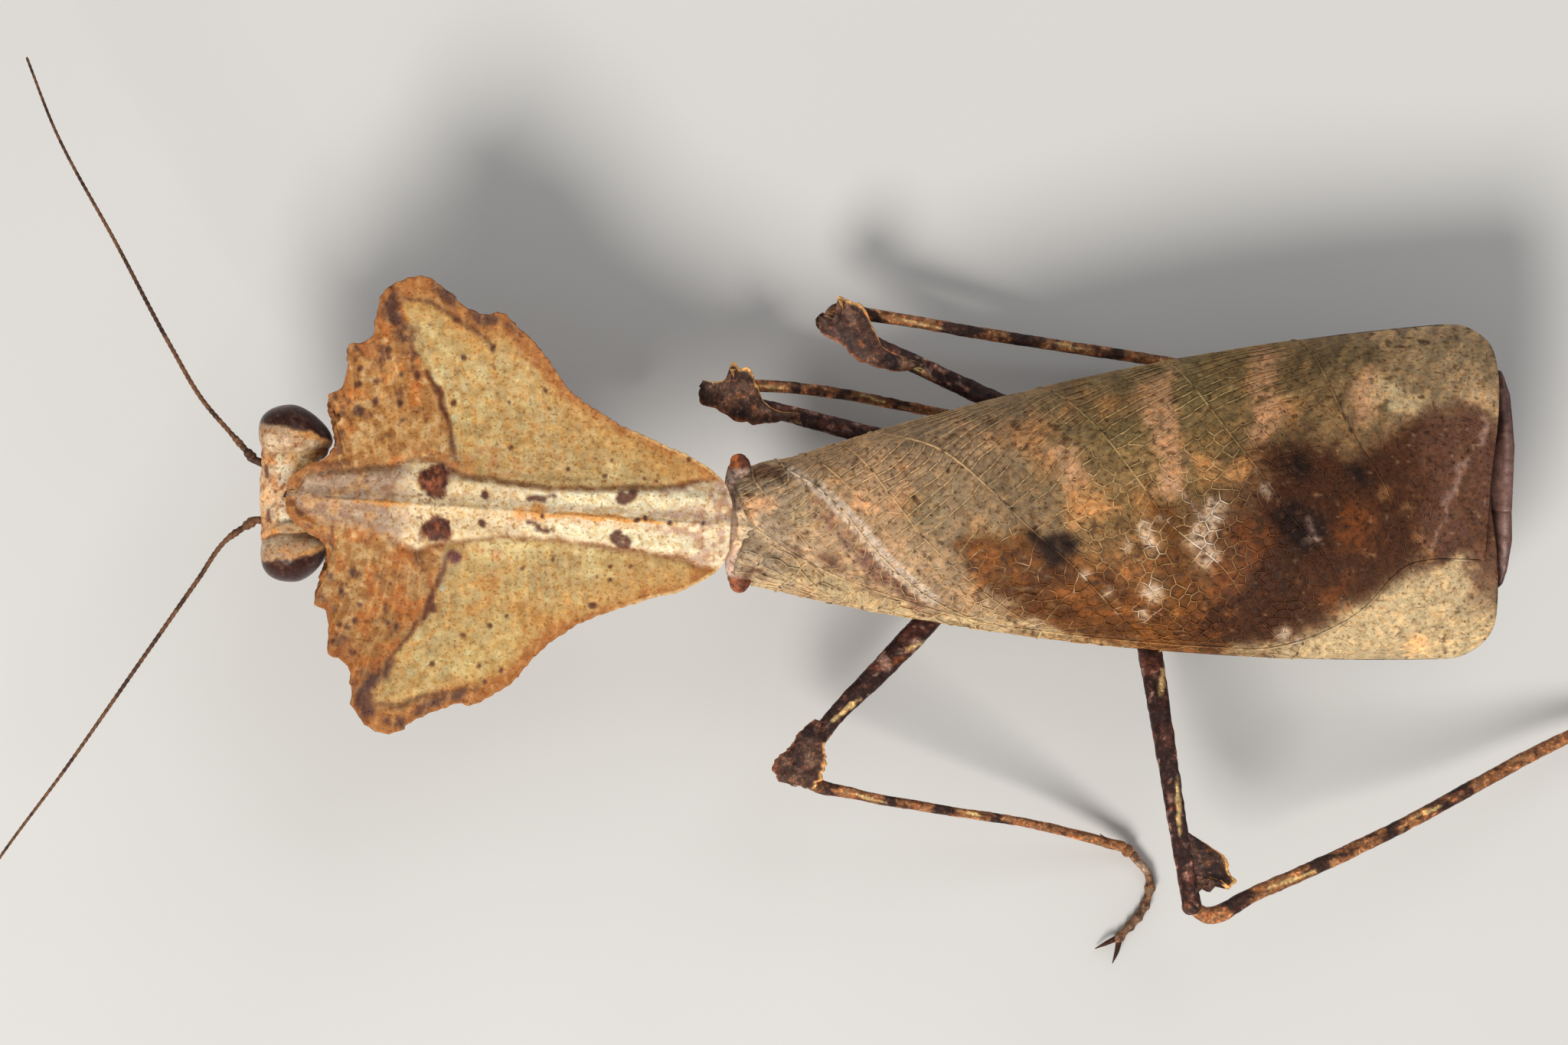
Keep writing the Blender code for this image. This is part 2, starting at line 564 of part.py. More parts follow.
LEGS = {
    "mid_left": (
        [(3.7, -1.9, 6.1, 1.15, 1.1), (7.4, -2.7, 5.3, 1.05, 1.0), (10.8, -3.4, 4.7, 0.85, 0.85)],
        [(11.4, -3.9, 4.6, 0.8, 0.8), (9.3, -6.4, 5.6, 0.75, 0.75), (6.4, -9.8, 6.8, 0.66, 0.62),
         (3.2, -12.9, 7.9, 0.58, 0.55), (0.9, -16.0, 8.6, 0.62, 0.6)],
        [(1.6, -16.8, 8.25, 0.5, 0.5), (4.5, -17.7, 7.3, 0.42, 0.42), (9.5, -18.7, 5.6, 0.36, 0.36),
         (16.8, -20.0, 3.0, 0.34, 0.34), (22.4, -21.5, 1.0, 0.38, 0.38)],
        [(23.2, -22.1, 0.55, 0.4, 0.42), (24.3, -23.6, 0.4, 0.38, 0.45),
         (24.0, -25.4, 0.4, 0.36, 0.45), (22.2, -27.7, 0.4, 0.34, 0.45)],
    ),
    "hind_left": (
        [(13.2, -1.6, 5.2, 1.1, 1.0), (18.0, -2.5, 4.9, 1.05, 1.0), (22.4, -3.1, 4.7, 0.85, 0.85)],
        [(23.4, -3.7, 4.6, 0.85, 0.85), (24.0, -8.6, 6.3, 0.72, 0.72),
         (24.7, -13.6, 8.0, 0.64, 0.62), (25.5, -19.2, 9.4, 0.6, 0.58), (26.4, -24.8, 10.6, 0.62, 0.6)],
        [(27.2, -25.4, 10.2, 0.55, 0.55), (30.6, -24.1, 9.4, 0.52, 0.52),
         (38.9, -20.6, 6.6, 0.5, 0.5), (51.8, -14.2, 2.4, 0.45, 0.45), (55.6, -12.6, 1.1, 0.4, 0.4)],
        [(56.6, -12.2, 0.6, 0.4, 0.42), (59.8, -11.3, 0.4, 0.4, 0.45),
         (62.4, -10.6, 0.4, 0.36, 0.45), (65.4, -9.6, 0.4, 0.34, 0.45)],
    ),
    "mid_right": (
        [(3.7, 1.9, 6.1, 1.15, 1.1), (7.4, 2.9, 5.3, 1.05, 1.0), (10.8, 3.6, 4.7, 0.85, 0.85)],
        [(11.5, 4.1, 4.6, 0.8, 0.8), (6.0, 5.6, 5.6, 0.7, 0.7), (-0.5, 7.3, 6.5, 0.6, 0.58),
         (-5.0, 8.4, 7.1, 0.62, 0.6)],
        [(-4.4, 9.1, 6.3, 0.46, 0.46), (-1.2, 9.0, 5.4, 0.42, 0.42), (2.8, 8.6, 4.4, 0.4, 0.4),
         (8.9, 7.5, 2.7, 0.36, 0.36), (15.4, 6.2, 1.0, 0.38, 0.38)],
        [(16.4, 6.0, 0.58, 0.4, 0.42), (19.1, 5.5, 0.4, 0.38, 0.45), (22.4, 4.7, 0.4, 0.34, 0.45)],
    ),
    "hind_right": (
        [(13.2, 1.8, 5.2, 1.1, 1.0), (18.0, 2.8, 4.9, 1.05, 1.0), (22.2, 3.4, 4.7, 0.85, 0.85)],
        [(22.9, 4.1, 4.6, 0.85, 0.85), (16.0, 7.0, 5.3, 0.72, 0.72), (9.0, 10.2, 5.9, 0.64, 0.62),
         (2.7, 13.1, 6.4, 0.62, 0.6)],
        [(3.4, 13.9, 5.6, 0.48, 0.48), (5.9, 13.6, 5.0, 0.44, 0.44), (14.6, 12.2, 3.7, 0.42, 0.42),
         (24.1, 10.8, 2.2, 0.4, 0.4), (33.4, 9.1, 1.0, 0.38, 0.38)],
        [(34.4, 8.9, 0.58, 0.4, 0.42), (37.5, 8.3, 0.4, 0.38, 0.45), (41.0, 7.4, 0.4, 0.34, 0.45)],
    ),
}

# Leafy lobes near the knees, as thin blades.
KNEE_LOBES = {
    "mid_left": [[(2.9, -12.4, 8.0, 0.3, 0.28), (1.2, -13.7, 8.7, 1.1, 0.3),
                  (-0.1, -15.4, 9.0, 1.2, 0.3), (0.0, -17.1, 8.9, 0.5, 0.26)]],
    "hind_left": [[(25.3, -18.0, 9.2, 0.3, 0.28), (26.2, -20.3, 9.8, 0.8, 0.3),
                   (27.2, -22.2, 10.2, 1.25, 0.3), (28.5, -23.2, 10.3, 0.7, 0.28),
                   (29.2, -23.6, 10.4, 0.2, 0.2)]],
    "mid_right": [[(-0.9, 7.9, 6.8, 0.3, 0.28), (-2.2, 8.8, 7.2, 0.9, 0.3),
                   (-3.4, 9.5, 7.5, 0.8, 0.3), (-3.7, 10.5, 7.6, 0.2, 0.2)]],
    "hind_right": [[(6.6, 11.8, 6.5, 0.3, 0.28), (5.4, 13.0, 6.8, 0.9, 0.3),
                    (4.2, 13.9, 7.0, 0.9, 0.3), (3.7, 15.0, 7.1, 0.2, 0.2)]],
}


def foot(rows, by=0.0):
    """Five beads of a tarsus, flat where they meet the floor, and two claws."""
    beads = smooth(rows, 15)
    t = np.linspace(0, 1, 15)
    swell = np.zeros(15)
    for joint in (0.42, 0.6, 0.74, 0.86, 1.0):
        swell += np.exp(-(((t - joint + 0.02) / 0.05) ** 2))
    beads[:, 3:] *= (0.86 + 0.25 * swell)[:, None]
    shapes = [tube(beads, 6)]
    end, back = beads[-1, :3], beads[-3, :3]
    ahead = (end - back) / np.linalg.norm(end - back)
    across = np.cross(ahead, (0, 0, 1))
    for side in (-1, 1):
        knuckle = end + ahead * 0.7 + across * side * 0.45 + (0, 0, 0.3)
        tip = knuckle + ahead * 0.75 + across * side * 0.3 - (0, 0, 0.4)
        root = end + across * side * 0.11 + (0, 0, 0.03 * side)
        shapes.append(tube([(*root, 0.27, 0.27), (*knuckle, 0.24, 0.24), (*tip, 0.1, 0.1)], 5))
    return shapes


def below_floor():
    """A block under the floor, which cuts a small flat on each foot."""
    work = bmesh.new()
    bmesh.ops.create_cube(work, size=200.0, matrix=Matrix.Translation((0, 0, -100)))
    return work


def spines(rows, first, last, count, length, aim):
    """Spines in a row along a segment, pointing the way aim gives."""
    line = smooth(rows, 60)
    out = []
    for n, t in enumerate(np.linspace(first, last, count)):
        row = line[int(t * 59)]
        reach = row[4] if abs(aim[2]) > 0.5 else row[3]
        base = row[:3] + np.array(aim) * reach * 0.85
        long = length * (1.0 if n % 2 else 0.72)
        out.append(cone(base, base + np.array(aim) * long, 0.26))
    return out


SHIELD_TAN, SHIELD_RUST = (0.55, 0.38, 0.20), (0.50, 0.25, 0.10)
LEG_DARK, LEG_TAN, WING_BROWN = (0.10, 0.06, 0.035), (0.36, 0.22, 0.11), (0.25, 0.16, 0.09)

leg_rows = dict(LEGS)
for side_name, sign in (("left", -1), ("right", 1)):
    leg_rows["fore_" + side_name] = foreleg(sign)

fore_coxae = [tube(grown(leg_rows["fore_" + s][0]), 8, 6) for s in ("left", "right")]
node("pronotum", shield(), SHIELD_TAN, 0.65, fore_coxae)

eyes_grown = [eye(-1, GAP), eye(1, GAP)]
node("head", head(), SHIELD_RUST, 0.55, eyes_grown)
for side_name, sign in (("left", -1), ("right", 1)):
    node("eye_" + side_name, [eye(sign)], (0.08, 0.04, 0.05), 0.3)
    feeler("antenna_" + side_name, ANTENNAE[side_name], 0.3, 0.17, (0.30, 0.18, 0.09))
    node("tegmen_" + side_name, fore_wing(sign), WING_BROWN, 0.5)
    node("hindwing_" + side_name, hind_wing(sign), (0.12, 0.05, 0.05), 0.3)
    node("cercus_" + side_name, [cercus(sign)], LEG_TAN, 0.6)

walking_coxae = [tube(grown(leg_rows[key][0]), 8, 6) for key in LEGS]
node("pterothorax", thorax(), (0.42, 0.27, 0.15), 0.65, walking_coxae)
node("abdomen", abdomen(), (0.30, 0.19, 0.11), 0.65, [cercus(-1, GAP), cercus(1, GAP)])

for key, (coxa, femur, tibia, tarsus) in leg_rows.items():
    sign = 1 if "right" in key else -1
    fore = key.startswith("fore")
    out = np.cross(np.array(femur[-1][:3]) - np.array(femur[0][:3]), (0, 0, 1.0))
    out /= np.linalg.norm(out)
    coxa_shapes, femur_shapes = [tube(coxa, 8, 6)], [tube(femur, 8, 10)]
    tibia_shapes, foot_shapes = [tube(tibia, 7, 9)], foot(tarsus)
    if fore:
        coxa_shapes += spines(coxa, 0.25, 0.85, 4, 0.7, (0, 0, -1))
        femur_shapes += spines(femur, 0.3, 0.88, 6, 1.0, (out[0] * 0.45, out[1] * 0.45, -0.89))
        femur_shapes += spines(femur, 0.36, 0.82, 5, 0.9, (-out[0] * 0.45, -out[1] * 0.45, -0.89))
        tibia_shapes += spines(tibia, 0.25, 0.8, 6, 0.55, (0.94, -0.06, 0.33))
        tip = np.array(tibia[-1][:3])
        tibia_shapes.append(cone(tip, tip + (1.4, -1.2 * sign, -0.3), 0.34, 6))
    else:
        femur_shapes += [tube(lobe, 6, 7) for lobe in KNEE_LOBES[key]]
        tibia_shapes += spines(tibia, 0.9, 0.97, 2, 0.6, (out[0], out[1], 0.0))
    grown_femur = [tube(grown(femur), 8, 10)]
    node("coxa_" + key, coxa_shapes, LEG_DARK, 0.6, grown_femur)
    node("femur_" + key, femur_shapes, LEG_DARK, 0.6)
    node("tibia_" + key, tibia_shapes, LEG_TAN, 0.6, grown_femur)
    node("tarsus_" + key, foot_shapes, LEG_TAN, 0.6, [tube(grown(tibia), 7, 9), below_floor()])
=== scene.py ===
"""Giant dead leaf mantis: the finished surfaces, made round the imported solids.

Lengths are millimetres in the layout of the solids: x runs from head to wing tips, y to the
mantis's right, z up from the floor. Meshes move to the world, in metres, when they are made.
Colours are screen values from 0 to 255. Marks are rows of two coordinates and a radius.
"""

import math

import bpy
import numpy as np
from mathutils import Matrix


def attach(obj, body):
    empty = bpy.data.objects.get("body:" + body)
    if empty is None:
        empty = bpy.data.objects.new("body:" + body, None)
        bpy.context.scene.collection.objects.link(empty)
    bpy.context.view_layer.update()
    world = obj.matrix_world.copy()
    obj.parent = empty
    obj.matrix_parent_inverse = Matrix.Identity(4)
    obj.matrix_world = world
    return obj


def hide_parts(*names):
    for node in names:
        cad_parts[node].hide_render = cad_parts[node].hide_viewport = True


MM = 0.001
FOOTPRINT_MIDDLE = np.array([7.23, 0.36, 0.0])

SHIELD_LENGTH = 28.4
SHIELD_REAR = (-3.41, -0.26)
SHIELD_YAW = math.radians(3.95)
SHIELD_REAR_TOP = 14.6
SHIELD_RISE = 2.3
KEEL = 0.3

HEAD_CENTRE = (-31.3, 1.95)
HEAD_YAW = math.radians(-3.1)
EYE = (2.05, 1.8, 2.5)
EYE_HEIGHT = 13.7

LOWER_WING, HIND_WING = 0.75, 1.95
WING_SQUARENESS = 2.2
MEMBRANE = 0.16
VEIN_ROOT = 0.05  # how deep a fine vein is sunk

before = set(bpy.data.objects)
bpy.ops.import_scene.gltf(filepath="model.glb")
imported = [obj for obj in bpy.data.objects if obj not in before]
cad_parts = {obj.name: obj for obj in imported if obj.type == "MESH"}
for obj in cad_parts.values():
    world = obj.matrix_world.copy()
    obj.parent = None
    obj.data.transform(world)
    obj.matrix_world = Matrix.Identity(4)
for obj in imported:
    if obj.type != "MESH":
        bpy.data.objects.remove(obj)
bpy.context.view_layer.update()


# Numbers


def ease(x, low, high):
    """0 below low, 1 above high, and a smooth step between them."""
    t = np.clip((np.asarray(x, float) - low) / (high - low), 0, 1)
    return t * t * (3 - 2 * t)


def hump(x, middle, reach):
    """1 at the middle, falling to 0 at its reach."""
    return 1 - ease(np.abs(np.asarray(x, float) - middle), 0, reach)


def unit(vectors):
    return vectors / (np.linalg.norm(vectors, axis=-1, keepdims=True) + 1e-12)


def smooth(rows, count):
    """Evenly spaced rows along a smooth curve through the given rows."""
    rows = np.array(rows, float)
    reach = np.concatenate([[0], np.cumsum(np.linalg.norm(np.diff(rows, axis=0), axis=1))])
    slope = np.gradient(rows, reach, axis=0)
    at = np.linspace(0, reach[-1], count)
    k = np.clip(np.searchsorted(reach, at, side="right") - 1, 0, len(reach) - 2)
    span = (reach[k + 1] - reach[k])[:, None]
    t = (at - reach[k])[:, None] / span
    bend = (t**3 - 2 * t**2 + t) * span * slope[k] + (t**3 - t**2) * span * slope[k + 1]
    return rows[k] + (3 * t**2 - 2 * t**3) * (rows[k + 1] - rows[k]) + bend


def cloud(points, size, seed=0):
    """Smooth noise from -1 to 1, with lumps of the given size."""
    at = np.asarray(points, float) / size + 31.7 * seed
    cell = np.floor(at).astype(np.int64)
    t = at - cell
    t = t * t * (3 - 2 * t)
    total = np.zeros(at.shape[:-1])
    for corner in np.ndindex(2, 2, 2):
        key = (cell + corner).astype(np.uint64)
        key = key * np.array([73856093, 19349663, 83492791], np.uint64)
        key = (key[..., 0] ^ key[..., 1] ^ key[..., 2]) & np.uint64(0xFFFFFFFF)
        for shift, factor in ((15, 2246822519), (13, 3266489917)):
            key = ((key ^ (key >> np.uint64(shift))) * np.uint64(factor)) & np.uint64(0xFFFFFFFF)
        key = key ^ (key >> np.uint64(16))
        weight = np.prod(np.where(corner, t, 1 - t), axis=-1)
        total += weight * (key.astype(float) / 2**31 - 1)
    return total


def clouds(points, size, seed=0, layers=3):
    """Noise of several sizes, each half the last."""
    parts = [0.55**n * cloud(points, size / 2**n, seed + n) for n in range(layers)]
    return sum(parts) / sum(0.55**n for n in range(layers)) * 1.5


def flat(a, b):
    """Points of a plane, for noise over two coordinates."""
    return np.stack(np.broadcast_arrays(a, b, 0.0), axis=-1)


def near(at, marks, soft, joined=False):
    """1 inside round marks, fading to 0 outside; joined marks make one streak."""
    marks = np.array(marks, float)
    gap = np.full(at.shape[:-1], 1e9)
    for one, two in zip(marks, marks[1:]) if joined and len(marks) > 1 else zip(marks, marks):
        step = two[:2] - one[:2]
        t = np.clip((at - one[:2]) @ step / max(step @ step, 1e-9), 0, 1)
        reach = np.linalg.norm(at - one[:2] - t[..., None] * step, axis=-1)
        gap = np.minimum(gap, reach - one[2] - (two[2] - one[2]) * t)
    return 1 - ease(gap, -soft, soft)


def paint(tint, colour, mask):
    """The tint with a colour laid over it where the mask says."""
    return tint + (np.asarray(colour, float) - tint) * np.asarray(mask)[..., None]


def patches(at, places):
    """Colours blended between places of x, y, reach and colour."""
    total, weights = 0.0, 0.0
    for x, y, reach, colour in places:
        weight = np.exp(-((at[..., 0] - x) ** 2 + (at[..., 1] - y) ** 2) / (2 * reach**2)) + 1e-7
        total = total + weight[..., None] * np.array(colour, float)
        weights = weights + weight
    return total / weights[..., None]


# Meshes


def quads(n):
    return np.stack([n[:-1, :-1], n[:-1, 1:], n[1:, 1:], n[1:, :-1]], axis=-1).reshape(-1, 4)


def normals(grid):
    """Unit normals of a grid of points."""
    return unit(np.cross(np.gradient(grid, axis=0), np.gradient(grid, axis=1)))


def volume(points, faces):
    total = 0.0
    for face in faces:
        for k in range(1, face.shape[1] - 1):
            p, q, r = points[face[:, 0]], points[face[:, k]], points[face[:, k + 1]]
            total += np.einsum("ij,ij->", p, np.cross(q, r))
    return total


def closed(rings):
    """A closed surface through rings, with a point in the middle of each end."""
    count, sides = rings.shape[:2]
    n = np.arange(count * sides).reshape(count, sides)
    after = np.roll(n, -1, axis=1)
    walls = np.stack([n[:-1], after[:-1], after[1:], n[1:]], axis=-1).reshape(-1, 4)
    first = np.stack([after[0], n[0], np.full(sides, count * sides)], axis=-1)
    last = np.stack([n[-1], after[-1], np.full(sides, count * sides + 1)], axis=-1)
    points = np.concatenate([rings.reshape(-1, 3), rings[[0, -1]].mean(axis=1)])
    return points, [walls, first, last]


def leaf(top, thick):
    """A closed thin leaf under a grid of points; its underside has every second row and column."""
    rows, cols = top.shape[:2]
    up = normals(top)
    up *= np.sign(up[..., 2].mean())
    low = (top - up * np.broadcast_to(np.asarray(thick, float), (rows, cols))[..., None])[::2, ::2]
    n = np.arange(rows * cols).reshape(rows, cols)
    m = rows * cols + np.arange(low.shape[0] * low.shape[1]).reshape(low.shape[:2])
    faces = [quads(n), quads(m)[:, ::-1]]
    outer = (n[0], n[:, -1], n[-1, ::-1], n[::-1, 0])
    inner = (m[0], m[:, -1], m[-1, ::-1], m[::-1, 0])
    for edge, under in zip(outer, inner):
        a, b, c, p, q = edge[:-2:2], edge[1::2], edge[2::2], under[:-1], under[1:]
        for corners in ((b, a, p), (b, p, q), (c, b, q)):
            faces.append(np.stack(corners, axis=-1))
    return np.concatenate([top.reshape(-1, 3), low.reshape(-1, 3)]), faces


def rod(rows, sides, count, up=(0, 0, 1)):
    """Rings of a round-ended rod through rows of x, y, z, half width and half height."""
    rows = smooth(rows, count)
    along = unit(np.gradient(rows[:, :3], axis=0))
    steps = np.array([0.97, 0.85, 0.6, 0.3])
    tips = []
    for end, way in ((0, -1), (-1, 1)):
        cap = np.repeat(rows[end][None], len(steps), axis=0)
        reach = steps[:, None] * rows[end, 3:].min()
        cap[:, :3] += way * along[end] * reach
        cap[:, 3:] *= np.sqrt(1 - steps[:, None] ** 2)
        tips.append(cap[::way * -1] if way > 0 else cap)
    rows = np.concatenate([tips[0], rows, tips[1]])
    along = np.concatenate([along[:1]] * 4 + [along] + [along[-1:]] * 4)
    side = unit(np.cross(up, along))
    lift = np.cross(along, side)
    turn = np.arange(sides) * 2 * math.pi / sides
    wide = np.cos(turn)[None, :, None] * rows[:, None, 3:4] * side[:, None]
    high = np.sin(turn)[None, :, None] * rows[:, None, 4:5] * lift[:, None]
    return rows[:, None, :3] + wide + high


def egg(centre, half, sides=24, rings=16, axes=np.eye(3)):
    """Rings of an egg of three half sizes along the given axes, its poles along the third."""
    turn = np.arange(sides) * 2 * math.pi / sides
    rise = np.linspace(-1, 1, rings + 2)[1:-1] * math.pi / 2
    ball = np.stack(np.broadcast_arrays(
        np.cos(rise)[:, None] * np.cos(turn), np.cos(rise)[:, None] * np.sin(turn),
        np.sin(rise)[:, None]), axis=-1)
    return np.array(centre, float) + (ball * half) @ np.array(axes, float)


class Skin:
    """Closed shapes gathered into one piece, with a colour for each point."""

    def __init__(self):
        self.points, self.faces, self.tints, self.total = [], [], [], 0

    def add(self, shape, tint):
        points, faces = shape
        if volume(points, faces) < 0:
            faces = [face[:, ::-1] for face in faces]
        self.points.append(points)
        self.faces += [face + self.total for face in faces]
        self.tints.append(np.broadcast_to(np.asarray(tint, float), points.shape))
        self.total += len(points)

    def add_rings(self, rings, tint):
        tint = np.broadcast_to(np.asarray(tint, float), rings.shape)
        ends = tint[[0, -1]].mean(axis=1)
        self.add(closed(rings), np.concatenate([tint.reshape(-1, 3), ends]))

    def add_leaf(self, top, thick, tint, under=None):
        """A leaf painted above with one tint and below with another, or the same."""
        under = tint if under is None else np.broadcast_to(np.asarray(under, float), top.shape)
        both = np.concatenate([tint.reshape(-1, 3), under[::2, ::2].reshape(-1, 3)])
        self.add(leaf(top, thick), both)

    def piece(self, name, coat, slot, *nodes):
        """Makes the object, riding on the body and standing for the nodes it replaces."""
        points = (np.concatenate(self.points) - FOOTPRINT_MIDDLE) * MM
        mesh = bpy.data.meshes.new(name)
        mesh.vertices.add(len(points))
        mesh.vertices.foreach_set("co", points.astype(np.float32).ravel())
        sizes = np.concatenate([np.full(len(f), f.shape[1]) for f in self.faces])
        corners = np.concatenate([f.ravel() for f in self.faces])
        mesh.loops.add(len(corners))
        mesh.loops.foreach_set("vertex_index", corners.astype(np.int32))
        mesh.polygons.add(len(sizes))
        starts = np.concatenate([[0], np.cumsum(sizes)[:-1]])
        mesh.polygons.foreach_set("loop_start", starts.astype(np.int32))
        mesh.update(calc_edges=True)
        mesh.validate()
        light = linear(np.clip(np.concatenate(self.tints), 0, 255))
        layer = mesh.color_attributes.new("tint", "FLOAT_COLOR", "POINT")
        colours = np.concatenate([light, np.ones((len(light), 1))], axis=1)
        layer.data.foreach_set("color", colours.astype(np.float32).ravel())
        mesh.shade_smooth()
        obj = bpy.data.objects.new(name, mesh)
        bpy.context.scene.collection.objects.link(obj)
        mesh.materials.append(coat)
        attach(obj, "root")
        if nodes:
            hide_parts(*nodes)
        return obj


def fused(shapes, voxel):
    """Closed shapes melted into one even surface: its points, normals and faces."""
    mesh = bpy.data.meshes.new("melt")
    points, faces, total = [], [], 0
    for shape_points, shape_faces in shapes:
        if volume(shape_points, shape_faces) < 0:
            shape_faces = [face[:, ::-1] for face in shape_faces]
        points.append(shape_points)
        faces += [tuple(row) for face in shape_faces for row in (face + total).tolist()]
        total += len(shape_points)
    mesh.from_pydata(np.concatenate(points).tolist(), [], faces)
    obj = bpy.data.objects.new("melt", mesh)
    bpy.context.scene.collection.objects.link(obj)
    melt = obj.modifiers.new("melt", "REMESH")
    melt.mode, melt.voxel_size = "VOXEL", voxel
    even = obj.modifiers.new("even", "SMOOTH")
    even.factor, even.iterations = 0.5, 2
    bpy.context.view_layer.update()
    made = bpy.data.meshes.new_from_object(obj.evaluated_get(bpy.context.evaluated_depsgraph_get()))
    out = np.empty(len(made.vertices) * 3, np.float32)
    made.vertices.foreach_get("co", out)
    up = np.empty(len(made.vertices) * 3, np.float32)
    made.vertices.foreach_get("normal", up)
    corners = np.empty(len(made.loops), np.int32)
    made.loops.foreach_get("vertex_index", corners)
    bpy.data.objects.remove(obj)
    bpy.data.meshes.remove(mesh)
    bpy.data.meshes.remove(made)
    return out.reshape(-1, 3).astype(float), up.reshape(-1, 3).astype(float), corners.reshape(-1, 4)


# Finishes


def linear(colour):
    """Light of a screen colour."""
    c = np.asarray(colour, float) / 255
    return np.where(c <= 0.04045, c / 12.92, ((c + 0.055) / 1.055) ** 2.4)


def coat(name, rough, grain, contrast, lumps, relief, mottles, specular, gloss=0.0):
    """A finish that carries the painted tint, with fine grain, mottles and relief in millimetres.

    A mottle is its size, the share of the surface that it covers, and what it multiplies by.
    """
    made = bpy.data.materials.new(name)
    made.use_nodes = True
    tree = made.node_tree
    shader = tree.nodes["Principled BSDF"]
    link = tree.links.new

    def add(kind, **values):
        new = tree.nodes.new(kind)
        for key, value in values.items():
            setattr(new, key, value)
        return new

    def noise(size, detail=3.0):
        new = add("ShaderNodeTexNoise")
        new.inputs["Scale"].default_value = 1 / (size * MM)
        new.inputs["Detail"].default_value = detail
        link(place.outputs["Object"], new.inputs["Vector"])
        return new.outputs["Fac"]

    def spread(value, low, high, to_low, to_high):
        new = add("ShaderNodeMapRange")
        link(value, new.inputs["Value"])
        for key, number in zip(("From Min", "From Max", "To Min", "To Max"),
                               (low, high, to_low, to_high)):
            new.inputs[key].default_value = number
        return new.outputs["Result"]

    def maths(operation, one, two):
        new = add("ShaderNodeMath", operation=operation)
        for slot, value in zip(new.inputs, (one, two)):
            if isinstance(value, float):
                slot.default_value = value
            else:
                link(value, slot)
        return new.outputs["Value"]

    place = add("ShaderNodeTexCoord")
    colour = add("ShaderNodeAttribute", attribute_name="tint").outputs["Color"]
    fine, coarse = noise(grain), noise(lumps)
    shade = maths("MULTIPLY", spread(fine, 0.3, 0.7, 1 - contrast, 1 + contrast),
                  spread(coarse, 0.3, 0.7, 1 - contrast * 0.5, 1 + contrast * 0.5))
    scaled = add("ShaderNodeVectorMath", operation="SCALE")
    link(colour, scaled.inputs[0])
    link(shade, scaled.inputs["Scale"])
    colour = scaled.outputs["Vector"]
    for size, share, factors in mottles:
        edge = 0.66 - 0.3 * share
        blend = add("ShaderNodeMix", data_type="RGBA", blend_type="MULTIPLY")
        link(spread(noise(size, 2.0), edge - 0.05, edge + 0.06, 0.0, 1.0), blend.inputs["Factor"])
        link(colour, blend.inputs[6])
        blend.inputs[7].default_value = (*factors, 1)
        colour = blend.outputs[2]
    link(colour, shader.inputs["Base Color"])
    link(spread(coarse, 0.3, 0.7, rough - 0.08, rough + 0.1), shader.inputs["Roughness"])
    shader.inputs["Specular IOR Level"].default_value = specular
    shader.inputs["Coat Weight"].default_value = gloss
    shader.inputs["Coat Roughness"].default_value = 0.25
    bump = add("ShaderNodeBump")
    bump.inputs["Strength"].default_value = 0.7
    bump.inputs["Distance"].default_value = relief * MM
    link(maths("ADD", fine, coarse), bump.inputs["Height"])
    link(bump.outputs["Normal"], shader.inputs["Normal"])
    return made


# The shield


def on_shield(a, b, z):
    """Layout point a forward of the shield's rear end, b to its right, at height z."""
    c, s = math.cos(SHIELD_YAW), math.sin(SHIELD_YAW)
    a, b = np.asarray(a, float), np.asarray(b, float)
    x = SHIELD_REAR[0] - a * c + b * s
    y = SHIELD_REAR[1] + a * s + b * c
    return np.stack(np.broadcast_arrays(x, y, np.asarray(z, float)), axis=-1)


def shield_top(a, b):
    """Height of the shield's upper face."""
    a, b = np.asarray(a, float), np.abs(np.asarray(b, float))
    spine = SHIELD_REAR_TOP + SHIELD_RISE * a / SHIELD_LENGTH
    ridge = KEEL * (1 - ease(b, 0.0, 0.9)) + 0.45 * (1 - ease(b, 1.5, 2.6))
    sag = 0.8 * ease(b, 2.0, 14.0) + 0.35 * ease(b, 2.0, 6.5) * (1 - ease(b, 6.5, 12.0))
    return spine - 0.45 + ridge * (1 - 0.6 * ease(a, 25.0, 28.4)) - sag


# Half outline of the shield from the middle of its front edge round to the middle of its rear
# edge, as a forward and b sideways, each with the place on the midline from which its rib fans out.
SHIELD_OUTLINE = [
    (28.4, 0.4, 28.4), (28.3, 1.0, 27.8), (27.2, 2.05, 26.9), (26.0, 2.7, 25.9),
    (25.5, 3.5, 25.2), (25.6, 4.8, 24.7), (26.0, 6.0, 24.2), (26.2, 6.8, 23.9),
    (25.5, 7.1, 23.6), (25.2, 8.0, 23.2), (25.1, 9.1, 22.8), (25.1, 10.0, 22.4),
    (24.4, 10.1, 22.0), (23.7, 10.7, 21.6), (23.5, 12.0, 21.1), (23.3, 13.2, 20.6),
    (22.6, 14.1, 20.0), (21.3, 14.7, 19.4), (20.5, 14.65, 18.7), (19.4, 13.95, 18.0),
    (17.9, 13.0, 17.1), (16.7, 12.55, 16.2), (15.7, 12.65, 15.3), (14.5, 11.9, 14.4),
    (13.3, 10.9, 13.4), (12.2, 9.6, 12.4), (11.2, 8.4, 11.4), (10.2, 7.6, 10.3),
    (9.1, 6.9, 9.1), (7.7, 6.2, 7.8), (6.0, 5.5, 6.3), (4.7, 5.0, 5.0), (3.4, 4.6, 3.8),
    (2.4, 4.1, 2.7), (1.4, 3.5, 1.7), (0.5, 2.7, 0.8), (0.0, 1.5, 0.0),
]

